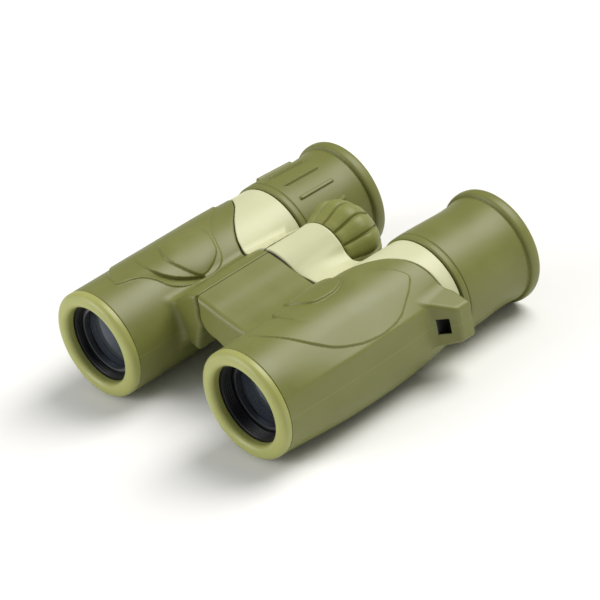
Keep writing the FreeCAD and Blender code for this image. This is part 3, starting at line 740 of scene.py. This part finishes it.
@dataclass
class BarrelForm:
    """Outer surface of an armoured barrel as a radius over angle and station."""

    radius: float = 17.0
    crease_deg: float = 21.1
    flat_deg: float = 49.0
    belly: tuple[float, float, float] = (3.4, -2.9, 14.6)
    panel_height: float = 0.5
    pad_height: float = 1.0
    swell: Points = ((0.0, 0.0), (3.2, 0.0), (6.8, 0.13), (9.8, 0.25), (12.8, 0.41),
                     (15.8, 0.53), (18.8, 0.66), (21.8, 0.77), (24.8, 0.86), (27.8, 0.92),
                     (31.0, 0.96), (37.0, 1.0), (41.0, 1.0), (44.0, 0.96), (47.0, 0.91),
                     (50.3, 0.85), (53.8, 0.74), (57.0, 0.64), (61.0, 0.48), (64.3, 0.34),
                     (68.0, 0.12), (72.0, 0.0), (108.0, 0.0))
    # Raised panel: hinge side from the front corner to the rear one, then back along the outside.
    panel_inner: Points = ((78, 10.2), (75, 12.4), (73, 14.9), (68, 18.0), (59, 20.5),
                           (48, 22.5), (42, 24.5), (37, 27.5), (34, 31.8), (34, 36.8),
                           (37, 40.7), (45, 43.1), (59, 44.7), (75, 46.9), (94, 51.4),
                           (107, 56.9), (118, 59.2), (124, 59.9))
    panel_outer: Points = ((124, 59.9), (128, 59.3), (137, 56.3), (145, 52.7), (153, 48.2),
                           (156, 42.7), (156, 37.9), (154, 33.5), (150, 29.5), (145, 26.0),
                           (138, 23.0), (126, 19.2), (113, 16.0), (103, 13.7), (92, 11.5),
                           (78, 10.2))
    pad: Points = ((38, 33.4), (41, 38.0), (49, 41.9), (58, 43.5), (70, 44.4), (84, 44.2),
                   (91, 42.1), (95, 39.1), (95.5, 35.0), (92, 31.0), (80, 28.6), (67, 27.9),
                   (49, 30.3))
    leaf: Points = ((36, 34.0), (38, 32.5), (47, 27.3), (55, 24.5), (66, 22.4), (82, 21.4),
                    (98, 22.8), (110, 25.6))
    # Angles between which the raised and sunk details lie, and where the belly begins.
    detail_deg: tuple[float, float] = (22.0, 168.0)
    belly_deg: float = -9.5
    chart: Chart = field(init=False)

    def __post_init__(self) -> None:
        """Charts the surface once, by degrees round and millimetres along."""
        self.chart = Chart.drawn((-180.0, -2.0), (180.0, 108.0), (0.5, 0.25), self._surface)

    def _section(self, deg: Array) -> Array:
        """Radius of the fully swollen section at angles from the outward horizontal."""
        fine = np.arange(-180.0, 180.01, 0.5)
        rad = np.radians(fine)
        corner = self.radius / math.cos(math.radians(self.crease_deg - self.flat_deg))
        wall = corner * math.cos(math.radians(self.crease_deg))
        bx, bz, br = self.belly
        along = bx * np.cos(rad) + bz * np.sin(rad)
        under = along ** 2 - (bx * bx + bz * bz - br * br)
        belly = along + np.sqrt(np.maximum(under, 0.0))
        out = np.full(fine.shape, self.radius)
        flat = (fine < self.flat_deg) & (fine >= self.crease_deg)
        out[flat] = self.radius / np.cos(rad[flat] - math.radians(self.flat_deg))
        side = (fine < self.crease_deg) & (fine >= self.belly_deg)
        out[side] = wall / np.cos(rad[side])
        low = fine < self.belly_deg
        out[low] = np.maximum(self.radius, belly[low])
        return np.interp(deg, fine, blurred(out, 2.6, 0))

    def _surface(self, deg: Array, station: Array) -> Array:
        """Radius over angle and station, with every raised and sunk detail."""
        table = np.array(self.swell)
        along = station[0]
        swell = blurred(np.interp(along, table[:, 0], table[:, 1]), 8.0, 0)
        base = self.radius - 0.55 * np.maximum(0.0, (along - 50.0) / 20.0) ** 1.5
        base = blurred(base, 4.0, 0)
        surface = base + swell * (self._section(deg) - self.radius)
        return surface + self._details(180.0 - deg, station)

    def _details(self, up: Array, station: Array) -> Array:
        """Height of the panel, the thumb pad and the sunk leaf.

        Args:
            up: angle from the hinge side over the top, in degrees.
            station: distance behind the front rim.

        Returns:
            Height above the plain barrel.
        """
        out = np.zeros(up.shape)
        first, last = self.detail_deg
        rows = np.where((up[:, 0] > first) & (up[:, 0] < last))[0]
        part = np.ix_(rows, np.arange(up.shape[1]))
        arc = self.radius * math.pi / 180.0
        a, b, deg = up[part] * arc, station[part], up[part]

        def laid(points: Points, steps: int, closed: bool = False) -> Array:
            return curve_through([(p * arc, q) for p, q in points], steps, closed)

        outline = np.vstack([laid(self.panel_inner, 6)[:-1], laid(self.panel_outer, 6)[:-1]])
        inside = -distance_to_outline(outline, a, b)
        height = self.panel_height * smoothstep(inside, -0.28, 0.30)
        pad_in = -distance_to_outline(laid(self.pad, 6, True), a, b)
        crown = 1.0 - np.exp(-np.maximum(pad_in, 0) / 2.6)
        height += self.pad_height * (0.62 * smoothstep(pad_in, -0.25, 0.35) + 0.5 * crown)
        line = laid(self.leaf, 8)
        gap = distance_to_line(line, a, b)
        # The sunk side of the leaf is the one nearer the front rim.
        order = np.argsort(line[:, 0])
        sunk = b < np.interp(a, line[order, 0], line[order, 1])
        gap = np.where(sunk, gap, -gap)
        share = np.clip(inside, 0, None) / (np.clip(inside, 0, None) + np.clip(gap, 0.05, None))
        step = smoothstep(gap, -0.2, 0.35) * smoothstep(inside, 0.0, 0.5)
        deep = 1.1 * share * (1 - smoothstep(deg, 56.0, 80.0))
        thin = 0.45 * np.exp(-np.clip(gap, 0, None) / 1.5) * (1 - smoothstep(deg, 88.0, 110.0))
        height -= step * (deep + thin)
        out[part] = height
        return out


REAR_EDGE: Points = ((-60.0, 49.3), (-24.0, 49.3), (-17.0, 49.25), (-14.2, 49.3), (-12.8, 49.7),
                     (-10.7, 50.6), (-8.0, 52.6), (-5.0, 55.3), (-2.7, 57.7), (0.0, 60.4),
                     (2.1, 61.8), (4.7, 63.6), (7.7, 65.0), (10.7, 66.0), (13.2, 66.5),
                     (15.0, 67.0), (16.6, 67.6), (18.0, 68.5), (30.0, 68.6))


def behind_armour(u: Array, s: Array) -> Array:
    """Length along the barrel from the rear edge of the armour back to a place."""
    edge = np.array(REAR_EDGE)
    return s - np.interp(u, edge[:, 0], edge[:, 1])


@dataclass
class HingeSections:
    """Cross-sections of the bridge over the hinge, as signed distances over X and height."""

    rise: float
    block_top: Points = ((-5.7, 14.2), (-4.0, 13.65), (-0.2, 12.45), (3.5, 11.0), (7.3, 9.85),
                         (12.6, 8.4), (21.0, 7.2))
    saddle_front: Points = ((-8.1, 14.1), (-5.9, 14.45), (-3.3, 13.95), (-0.6, 12.8),
                            (1.9, 11.0), (3.9, 9.7), (6.4, 8.95), (9.85, 8.8), (21.0, 8.3))
    saddle_rear: Points = ((-7.9, 13.75), (-5.0, 16.0), (0.0, 17.3), (4.6, 16.2), (8.2, 13.1),
                           (9.7, 10.4), (12.0, 8.6), (15.0, 8.7), (21.0, 10.2))
    cheek_top: Points = ((-24.0, 4.5), (-18.1, 8.7), (-13.0, 12.2), (-9.0, 14.0), (-5.95, 14.3))
    shoulder_front: Points = ((-24.0, 4.5), (-18.7, 8.3), (-13.6, 11.8), (-10.6, 13.6),
                              (-8.6, 14.2))
    shoulder_rear: Points = ((-24.0, 4.0), (-18.1, 7.6), (-14.5, 10.2), (-11.5, 12.0),
                             (-8.7, 13.6))

    def _arc(self, radius: float, first: float, last: float) -> list[tuple[float, float]]:
        """Points on a circle about the hinge axis between two angles."""
        turn = np.radians(np.linspace(first, last, 14))
        return [(radius * math.cos(t), self.rise + radius * math.sin(t)) for t in turn]

    def _chart(self, outline: Array) -> Chart:
        """Signed distance to an outline, charted."""
        return Chart.drawn((-30.0, -14.0), (26.0, 20.0), (0.25, 0.25),
                           lambda a, b: distance_to_outline(outline, a, b))

    def left(self, top: Points, radius: float, first: float, floor: Points) -> Chart:
        """Section of the left half's piece: over the axis and down to its barrel."""
        over = curve_through(top, 6)
        return self._chart(np.vstack([over[::-1], self._arc(radius, first, 262), floor]))

    def right(self, top: Points, radius: float, first: float, last: float,
              tip: Points) -> Chart:
        """Section of the right half's piece: from its barrel up to the seam."""
        over = curve_through(top, 6)
        return self._chart(np.vstack([over, self._arc(radius, first, last), tip]))

    def swept(self, half: float, own_side: Side, sweep_deg: float) -> Chart:
        """Room for an arm that turns about the hinge with the other half, and for its own arm."""
        tilt = math.atan2(-self.rise, HALF_SPACING)

        def rule(a: Array, b: Array) -> Array:
            up = b - self.rise
            best = np.hypot(a, up) - 3.6
            turns = [(math.pi - tilt) + math.radians(sweep_deg) * k / 6 for k in range(7)]
            if own_side is Side.LEFT:
                turns.append(tilt)
            else:
                turns = [math.pi - tilt]
            for turn in turns:
                along = a * math.cos(turn) + up * math.sin(turn)
                across = np.abs(-a * math.sin(turn) + up * math.cos(turn)) - half
                best = np.minimum(best, np.maximum(across, -along))
            return best

        return Chart.drawn((-30.0, -14.0), (26.0, 20.0), (0.25, 0.25), rule)


@dataclass
class StrapLug:
    """Lug on the outer side of the armour, with a slanted front face and a slot for a strap."""

    reach: float = 23.6
    slot: tuple[float, float] = (18.4, 21.3)
    slot_up: tuple[float, float] = (-2.4, 2.2)
    plan: Points = ((8.0, 50.5), (17.6, 58.4), (23.2, 63.0), (23.6, 64.0), (23.6, 68.6),
                    (8.0, 68.6))

    def __post_init__(self) -> None:
        """Charts the lug as seen from above."""
        outline = np.array(self.plan)
        self.chart = Chart.drawn((0.0, 44.0), (30.0, 76.0), (0.2, 0.2),
                                 lambda a, b: distance_to_outline(outline, a, b))

    def distance(self, u: Array, s: Array, z: Array) -> Array:
        """Signed distance to the lug without its slot."""
        top = (z - (7.6 - 0.36 * (u - 17.0))) * 0.94
        under = (-z - (6.9 - 0.16 * (u - 17.0))) * 0.98
        body = soft_max(self.chart.at(u, s), top, 1.1)
        return soft_max(body, under, 1.1)

    def slot_distance(self, u: Array, s: Array, z: Array) -> Array:
        """Signed distance to the slot that runs through the lug."""
        low, high = self.slot
        down, up = self.slot_up
        across = np.abs(u - (low + high) / 2) - (high - low) / 2
        along = np.abs(z - (down + up) / 2) - (up - down) / 2
        return np.maximum(np.maximum(across, along), 52.0 - s)


@dataclass
class Armour:
    """Rubber armour of one half: barrel, raised panel, strap lug and its side of the hinge."""

    side: Side
    layout: Layout
    barrel: BarrelForm
    sections: HingeSections
    front: float = 3.05
    bore: float = 15.46
    hinge_front: float = 20.0
    arm_room: tuple[float, float] = (22.0, 31.6)
    web_room: tuple[float, float] = (36.0, 47.0)
    fold_deg: float = 56.0
    # The rooms for the arms end this far inward of the barrel's axis.
    room_end: float = -10.0
    lug: StrapLug = field(default_factory=StrapLug)

    def __post_init__(self) -> None:
        """Charts the hinge-side sections."""
        cut = self.sections
        if self.side is Side.LEFT:
            floor = ((3.0, -1.4), (24.0, -6.2))
            self.bridge = cut.left(cut.block_top, 6.25, 156, floor)
            self.web = cut.swept(2.9, self.side, self.fold_deg)
        else:
            tip = ((-10.2, -5.5), (-14.2, -3.2), (-24.0, -6.6))
            self.bridge = cut.right(cut.cheek_top, 6.5, 156.5, 205, tip)
            self.web = None
        self.arms = cut.swept(2.4, self.side, self.fold_deg)

    def distance(self, places: Array) -> Array:
        """Signed distance to the armour at barrel places (outward, station, up)."""
        u, s, z = places[:, 0], places[:, 1], places[:, 2]
        x = self.side.value * (u + self.layout.barrel_x)
        rho = np.hypot(u, z)
        turn = np.degrees(np.arctan2(z, u))
        out = rho - self.barrel.chart.at(turn, s)
        bridge = soft_max(self.bridge.at(x, z), self.hinge_front - s, 2.0)
        out = soft_min(out, bridge, 3.0)
        out = soft_min(out, self.lug.distance(u, s, z), 1.0)
        out = soft_max(out, behind_armour(u, s) * ASLANT, 0.5)
        out = soft_max(out, self.front - s, 0.2)
        out = soft_max(out, self.bore - rho, 0.2)
        out = soft_max(out, -self.lug.slot_distance(u, s, z), 0.35)
        inward = u - self.room_end
        room = np.maximum(self.arms.at(x, z), self._between(s, self.arm_room))
        out = np.maximum(out, -np.maximum(room, inward))
        if self.web is not None:
            room = np.maximum(self.web.at(x, z), self._between(s, self.web_room))
            out = np.maximum(out, -np.maximum(room, inward))
        return out

    @staticmethod
    def _between(s: Array, room: tuple[float, float]) -> Array:
        """Signed distance to a slice between two stations."""
        return np.abs(s - (room[0] + room[1]) / 2) - (room[1] - room[0]) / 2

    def build(self, step: float) -> bpy.types.Object:
        """Meshes the armour."""
        form = ImplicitForm(self.distance, (-42.5, 1.8, -20.0), (25.5, 71.0, 20.5), step)
        piece = sculpted(f"{self.side.word}_rubber_armour", form, self.layout, self.side)
        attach(piece, f"{self.side.word}_half")
        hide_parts(f"{self.side.word}_armour")
        return piece


@dataclass
class BridgeShell:
    """Bare moulding behind the armour: the band round the barrel and the saddle or shoulder."""

    side: Side
    layout: Layout
    sections: HingeSections
    start: float = 50.1
    saddle_end: float = 65.2
    band_end: float = 71.9
    bore: float = 15.44
    gap: float = 0.35

    def __post_init__(self) -> None:
        """Charts the front and rear sections of the bridge."""
        cut = self.sections
        if self.side is Side.LEFT:
            floor = ((3.0, -3.6), (24.0, -6.8))
            self.ahead = cut.left(cut.saddle_front, 10.3, 139.0, floor)
            self.behind = cut.left(cut.saddle_rear, 10.3, 140.0, floor)
        else:
            tip = ((-12.5, -3.4), (-24.0, -6.8))
            self.ahead = cut.right(cut.shoulder_front, 10.65, 139.5, 215, tip)
            self.behind = cut.right(cut.shoulder_rear, 10.65, 140.0, 215, tip)

    def distance(self, places: Array) -> Array:
        """Signed distance to the shell at barrel places (outward, station, up)."""
        u, s, z = places[:, 0], places[:, 1], places[:, 2]
        x = self.side.value * (u + self.layout.barrel_x)
        rho = np.hypot(u, z)
        band = rho - np.interp(s, (48.0, self.band_end), (16.8, 16.35))
        share = np.clip((s - self.start) / (self.saddle_end - self.start), 0.0, 1.0)
        bridge = self.ahead.at(x, z) * (1 - share) + self.behind.at(x, z) * share
        bridge = soft_max(bridge, s - self.saddle_end, 0.7)
        out = soft_min(band, bridge, 3.2)
        out = soft_max(out, (self._width(u) - behind_armour(u, s)) * ASLANT, 0.3)
        out = soft_max(out, s - self.band_end, 0.3)
        out = np.maximum(out, self.bore - rho)
        if self.side is Side.LEFT:
            out = np.maximum(out, 2.12 - np.hypot(x, z - self.sections.rise))
        return out

    def _width(self, u: Array) -> Array:
        """Width of the gap behind the armour, wider over the hinge than on the barrel."""
        wide = self.start - REAR_EDGE[0][1]
        return self.gap + (wide - self.gap) * smoothstep(-u, 9.0, 14.5)

    def build(self, step: float) -> bpy.types.Object:
        """Meshes the shell."""
        form = ImplicitForm(self.distance, (-44.5, 47.5, -18.5), (18.5, 73.5, 18.5), step)
        piece = sculpted(f"{self.side.word}_cream_shell", form, self.layout, self.side)
        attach(piece, f"{self.side.word}_half")
        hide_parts(f"{self.side.word}_bridge_shell")
        return piece


@dataclass
class SeamSeal(BridgeShell):
    """Black strip at the bottom of the gap between an armour and its bare shell: painted shade, a
    dark piece standing in for the shadow deep in the gap.
    """

    sunk: float = 0.7
    clear: float = 0.06

    def distance(self, places: Array) -> Array:
        """Signed distance to the strip at barrel places (outward, station, up)."""
        u, s, z = places[:, 0], places[:, 1], places[:, 2]
        x = self.side.value * (u + self.layout.barrel_x)
        rho = np.hypot(u, z)
        out = soft_min(rho - 16.8, self.ahead.at(x, z), 3.2) + self.sunk
        behind = behind_armour(u, s)
        out = np.maximum(out, (self.clear - behind) * ASLANT)
        out = np.maximum(out, (behind + self.clear - self._width(u)) * ASLANT)
        out = np.maximum(out, self.bore + 0.1 - rho)
        if self.side is Side.LEFT:
            out = np.maximum(out, 2.2 - np.hypot(x, z - self.sections.rise))
        return out

    def build(self, step: float) -> bpy.types.Object:
        """Meshes the strip."""
        form = ImplicitForm(self.distance, (-44.5, 47.5, -18.5), (18.5, 70.5, 18.5), step)
        piece = sculpted(f"{self.side.word}_foam_seal", form, self.layout, self.side, False)
        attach(piece, f"{self.side.word}_half")
        return piece


def rounded_profile(points: Points, steps: int = 5) -> list[tuple[float, float]]:
    """Profile softened by a curve through its corners, closed."""
    return [(float(a), float(b)) for a, b in curve_through(points, steps, closed=True)]


@dataclass
class ObjectiveRim:
    """Rounded rubber lip round the front of one barrel."""

    side: Side
    layout: Layout
    segments: int = 192
    profile: Points = ((12.42, 2.85), (12.42, 2.2), (12.44, 1.6), (12.6, 1.0), (13.0, 0.5),
                       (13.6, 0.15), (14.4, 0.02), (15.2, 0.05), (16.0, 0.3), (16.6, 0.75),
                       (16.92, 1.3), (17.0, 1.9), (17.0, 2.5), (16.97, 2.85), (16.8, 2.98),
                       (16.0, 3.0), (14.0, 3.0), (12.8, 3.0), (12.5, 2.96))

    def build(self) -> bpy.types.Object:
        """Meshes the rim."""
        verts, faces = lathe(rounded_profile(self.profile, 3), self.segments)
        name = f"{self.side.word}_rubber_rim"
        piece = add_mesh(name, self.layout.to_row(verts, self.side), faces)
        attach(piece, f"{self.side.word}_half")
        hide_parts(f"{self.side.word}_objective_rim")
        return piece


@dataclass
class Eyecup:
    """Rubber eyecup with a rolled rim; the right one is ribbed and turns to set the dioptre."""

    side: Side
    layout: Layout
    segments: int = 640
    ribs: int = 16
    first_rib_deg: float = 7.5
    rib_height: float = 0.75
    rib_width: float = 1.2
    rib_span: tuple[float, float] = (77.4, 91.2)
    outer: Points = ((14.12, 72.2), (15.6, 72.2), (16.6, 72.2), (16.95, 72.35), (17.05, 72.7),
                     (17.08, 73.4), (17.07, 73.9), (16.93, 74.15), (16.88, 74.3),
                     (16.95, 74.45), (17.1, 74.7), (17.1, 76.0), (17.06, 78.0), (17.0, 80.0),
                     (16.92, 82.0), (16.83, 84.0), (16.73, 86.0), (16.63, 88.0), (16.54, 90.0),
                     (16.5, 92.0), (16.54, 94.0), (16.66, 96.0), (16.8, 97.4), (16.88, 98.2),
                     (16.8, 98.6), (16.78, 98.85), (17.0, 99.0), (17.5, 99.1), (17.85, 99.4),
                     (18.03, 99.9), (18.1, 100.6), (18.08, 101.3), (17.95, 102.0),
                     (17.65, 102.6), (17.1, 102.95), (16.5, 103.0), (15.8, 102.7),
                     (15.2, 102.0), (14.6, 100.8), (13.9, 99.4), (13.1, 98.0), (12.5, 97.0),
                     (12.25, 96.2), (12.22, 94.0), (12.22, 88.0),
                     (12.22, 80.6), (12.4, 80.0), (13.9, 79.9), (14.12, 79.6), (14.12, 76.0))

    def _ribbed(self, angle: Array, radius: Array, station: Array) -> Array:
        """Raises the ribs on the outside of the cup."""
        pitch = 2 * math.pi / self.ribs
        start = math.radians(self.first_rib_deg)
        off = (angle - start + pitch / 2) % pitch - pitch / 2
        low, high = self.rib_span
        half = self.rib_width / 2
        along = np.maximum(np.maximum(low + half - station, station - high + half), 0.0)
        away = np.hypot(off * 17.0, along)
        height = self.rib_height * (1 - smoothstep(away, half * 0.6, half * 1.25))
        return radius + np.where(radius > 15.8, height, 0.0)

    def build(self) -> bpy.types.Object:
        """Meshes the eyecup."""
        profile = self._refined()
        right = self.side is Side.RIGHT
        # Angles run from the row's +X on both sides, so the right half isn't mirrored.
        verts, faces = lathe(profile, self.segments, self._ribbed if right else None)
        place = np.array([self.side.value * self.layout.barrel_x, self.layout.front_y,
                          self.layout.axis_z])
        name = "right_rubber_dioptre_eyecup" if right else "left_rubber_eyecup"
        piece = add_mesh(name, verts + place, faces, crease_deg=50)
        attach(piece, "dioptre_ring" if right else "left_half")
        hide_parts("right_dioptre_eyecup" if right else "left_eyecup")
        return piece

    def _refined(self) -> list[tuple[float, float]]:
        """Profile with the ribbed stretch sampled finely enough for the rib ends."""
        rows = rounded_profile(self.outer, 3)
        out: list[tuple[float, float]] = []
        for (r0, s0), (r1, s1) in zip(rows, rows[1:] + rows[:1]):
            out.append((r0, s0))
            if r0 > 15.8 and r1 > 15.8 and 75.5 < s0 < 93.0 and s1 - s0 > 0.4:
                count = int((s1 - s0) / 0.28)
                out += [(r0 + (r1 - r0) * k / count, s0 + (s1 - s0) * k / count)
                        for k in range(1, count)]
        return out


@dataclass
class WheelGrip:
    """Lobed rubber grip of the focus wheel."""

    layout: Layout
    lobes: int = 13
    first_groove_deg: float = 27.5
    groove_depth: float = 0.85
    groove_width: float = 0.75
    bulge: float = 0.4
    segments: int = 13 * 40
    profile: Points = ((8.66, 65.6), (9.3, 65.6), (10.0, 65.7), (10.45, 66.3), (10.8, 67.2),
                       (11.15, 68.1), (11.6, 69.0), (12.1, 70.0), (12.6, 71.0), (12.95, 72.0),
                       (13.1, 73.1), (13.02, 74.2), (12.65, 75.2), (12.1, 76.2), (11.4, 77.2),
                       (10.6, 78.2), (9.9, 78.9), (9.3, 79.3), (8.66, 79.4), (8.66, 76.0),
                       (8.66, 72.0), (8.66, 68.0))

    def _lobed(self, angle: Array, radius: Array, station: Array) -> Array:
        """Presses the grooves and rounds the lobes between them."""
        pitch = 2 * math.pi / self.lobes
        off = (angle - math.radians(self.first_groove_deg) + pitch / 2) % pitch - pitch / 2
        near = np.abs(off) * 12.6
        groove = self.groove_depth * (1 - smoothstep(near, 0.12, self.groove_width))
        lobe = self.bulge * (np.cos(off / pitch * 2 * math.pi) * 0.5 + 0.5) ** 2
        weight = smoothstep(radius, 9.0, 10.2)
        return radius - weight * (groove + lobe)

    def build(self) -> bpy.types.Object:
        """Meshes the grip."""
        verts, faces = lathe(rounded_profile(self.profile, 4), self.segments, self._lobed)
        place = np.array([0.0, self.layout.front_y, self.layout.hinge_z])
        piece = add_mesh("focus_wheel_rubber_grip", verts + place, faces, crease_deg=50)
        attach(piece, "focus_wheel")
        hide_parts("focus_wheel_grip")
        return piece


class Internals:
    """CAD nodes that keep their own shape and take a finish."""

    def __init__(self, nodes: dict[str, bpy.types.Object], finishes: Finishes) -> None:
        """Keeps the nodes and the finishes."""
        self.nodes = nodes
        self.finishes = finishes

    def dress(self) -> int:
        """Dresses every node.

        Returns:
            How many nodes were dressed.
        """
        f = self.finishes
        by_tail = {"_body": f.body, "_front_ring": f.ring, "_objective_cell": f.ring,
                   "_objective_retainer": f.grey, "_objective_crown": f.lens,
                   "_objective_flint": f.lens, "_field_lens": f.lens, "_eye_lens": f.lens,
                   "_half_penta_prism": f.prism, "_roof_prism": f.prism,
                   "_prism_clip": f.steel, "_focus_arm": f.zinc, "hinge_axle": f.steel,
                   "_hinge_washer": f.steel, "focus_screw": f.steel, "focus_nut": f.brass,
                   "_armour": f.armour, "_bridge_shell": f.shell, "_objective_rim": f.rim,
                   "_eyecup": f.eyecup, "_wheel_grip": f.eyecup, "_wheel_cap": f.eyecup}
        for name, item in self.nodes.items():
            found = [m for tail, m in by_tail.items() if name.endswith(tail)]
            dress(item, found[0] if found else f.black)
        return len(self.nodes)


# ------------------------------------------------------------------------------ studio

@dataclass
class Studio:
    """Pale floor, soft lights and the camera."""

    azimuth_deg: float = 52.51
    elevation_deg: float = 28.875
    roll_deg: float = -12.0
    distance_m: float = 0.902
    aim_m: tuple[float, float] = (0.036654, 0.020997)
    lens_mm: float = 190.78

    def _paper(self) -> bpy.types.Material:
        """Matt white paper of the floor."""
        material, tree = fresh_material("studio_paper_white")
        place = add_node(tree, "ShaderNodeTexCoord")
        tone = spread(tree, noise(tree, place, 60.0), 0.92, 0.94)
        shaded(tree, {"Roughness": 0.9}, {"Base Color": tone})
        return material

    def _floor(self, height: float) -> None:
        """Lays the floor at the object's lowest point."""
        size = 3.0
        corners = [(-size, -size), (size, -size), (size, size), (-size, size)]
        mesh = bpy.data.meshes.new("studio_floor")
        mesh.from_pydata([(x, y, height) for x, y in corners], [], [(0, 1, 2, 3)])
        floor = bpy.data.objects.new("studio_floor", mesh)
        bpy.context.scene.collection.objects.link(floor)
        dress(floor, self._paper())
        floor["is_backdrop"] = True

    def _light(self, name: str, direction: tuple[float, float, float], distance: float,
               size: float, power: float, tint: str) -> None:
        """Adds a soft lamp that faces the object.

        Args:
            name: lamp name.
            direction: way from the object to the lamp.
            distance: metres from the object.
            size: side of the square lamp, in metres.
            power: watts.
            tint: sRGB hex colour.
        """
        lamp = bpy.data.lights.new(name, "AREA")
        lamp.shape = "SQUARE"
        lamp.size = size
        lamp.energy = power
        lamp.color = linear(tint)[:3]
        item = bpy.data.objects.new(name, lamp)
        way = Vector(direction).normalized()
        item.location = way * distance + Vector((0, 0, 0.02))
        item.rotation_euler = way.to_track_quat("Z", "Y").to_euler()
        bpy.context.scene.collection.objects.link(item)

    def _camera(self) -> None:
        """Places the camera."""
        az, el, roll = (math.radians(v) for v in
                        (self.azimuth_deg, self.elevation_deg, self.roll_deg))
        back = Vector((math.sin(az) * math.cos(el), -math.cos(az) * math.cos(el), math.sin(el)))
        right = Vector((math.cos(az), math.sin(az), 0))
        up = back.cross(right)
        across = math.cos(roll) * right + math.sin(roll) * up
        upward = -math.sin(roll) * right + math.cos(roll) * up
        data = bpy.data.cameras.new("camera")
        data.lens = self.lens_mm
        data.sensor_width = 36.0
        data.clip_start, data.clip_end = 0.01, 20.0
        item = bpy.data.objects.new("camera", data)
        # The aim is stated about the barrels' plane at the front rims' widest ring.
        datum = Vector((0.0, -0.0497, 0.0181))
        place = datum + across * self.aim_m[0] + upward * self.aim_m[1] + back * self.distance_m
        turn = Matrix((across, upward, back)).transposed().to_4x4()
        item.matrix_world = Matrix.Translation(place) @ turn
        bpy.context.scene.collection.objects.link(item)
        bpy.context.scene.camera = item

    def build(self, floor_height: float) -> None:
        """Sets up the whole studio."""
        self._floor(floor_height)
        world = bpy.data.worlds.new("studio_air")
        world.use_nodes = True
        back = world.node_tree.nodes["Background"]
        back.inputs["Color"].default_value = linear("#FFFFFF")
        back.inputs["Strength"].default_value = 0.29
        bpy.context.scene.world = world
        bpy.context.scene.view_settings.view_transform = "Standard"
        self._light("key_softbox", (0.24, 0.50, 0.83), 1.3, 0.9, 17.5, "#FFFDF8")
        self._light("front_softbox", (-0.45, -0.82, 0.34), 1.5, 0.9, 13.0, "#FFFFFF")
        self._camera()


# ------------------------------------------------------------------------------ assembly

def corners_as_lists(bounds: Any) -> list[list[float]]:
    """Bounds as plain lists."""
    return [[float(v) for v in corner] for corner in bounds]


def main() -> None:
    """Builds every sub-assembly in order, dresses it and finishes the scene."""
    logging.basicConfig(level=logging.INFO, format="%(name)s: %(message)s")
    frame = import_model()
    before = corners_as_lists(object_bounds())
    layout = Layout.from_frame(frame)
    finishes = Finishes()
    count = Internals(frame["nodes"], finishes).dress()
    LOG.info("dressed %d CAD nodes", count)
    step = FULL_STEP
    barrel = BarrelForm()
    sections = HingeSections(layout.rise)
    for side in Side:
        armour = Armour(side, layout, barrel, sections).build(step)
        dress(armour, finishes.armour)
        shell = BridgeShell(side, layout, sections).build(step)
        dress(shell, finishes.shell)
        # A black strip of painted shade fills the gap behind the armour.
        painted_gap = SeamSeal(side, layout, sections).build(step)
        dress(painted_gap, finishes.black)
        rim = ObjectiveRim(side, layout).build()
        # The rims' lighter olive is painted light from the front.
        dress(rim, finishes.rim)
        cup = Eyecup(side, layout).build()
        dress(cup, finishes.eyecup)
        for piece in (armour, shell, painted_gap, rim, cup):
            LOG.info("%s: %d faces", piece.name, len(piece.data.polygons))
    grip = WheelGrip(layout).build()
    dress(grip, finishes.grip)
    LOG.info("%s: %d faces", grip.name, len(grip.data.polygons))
    Studio().build(before[0][2])


if __name__ == "__main__":
    main()
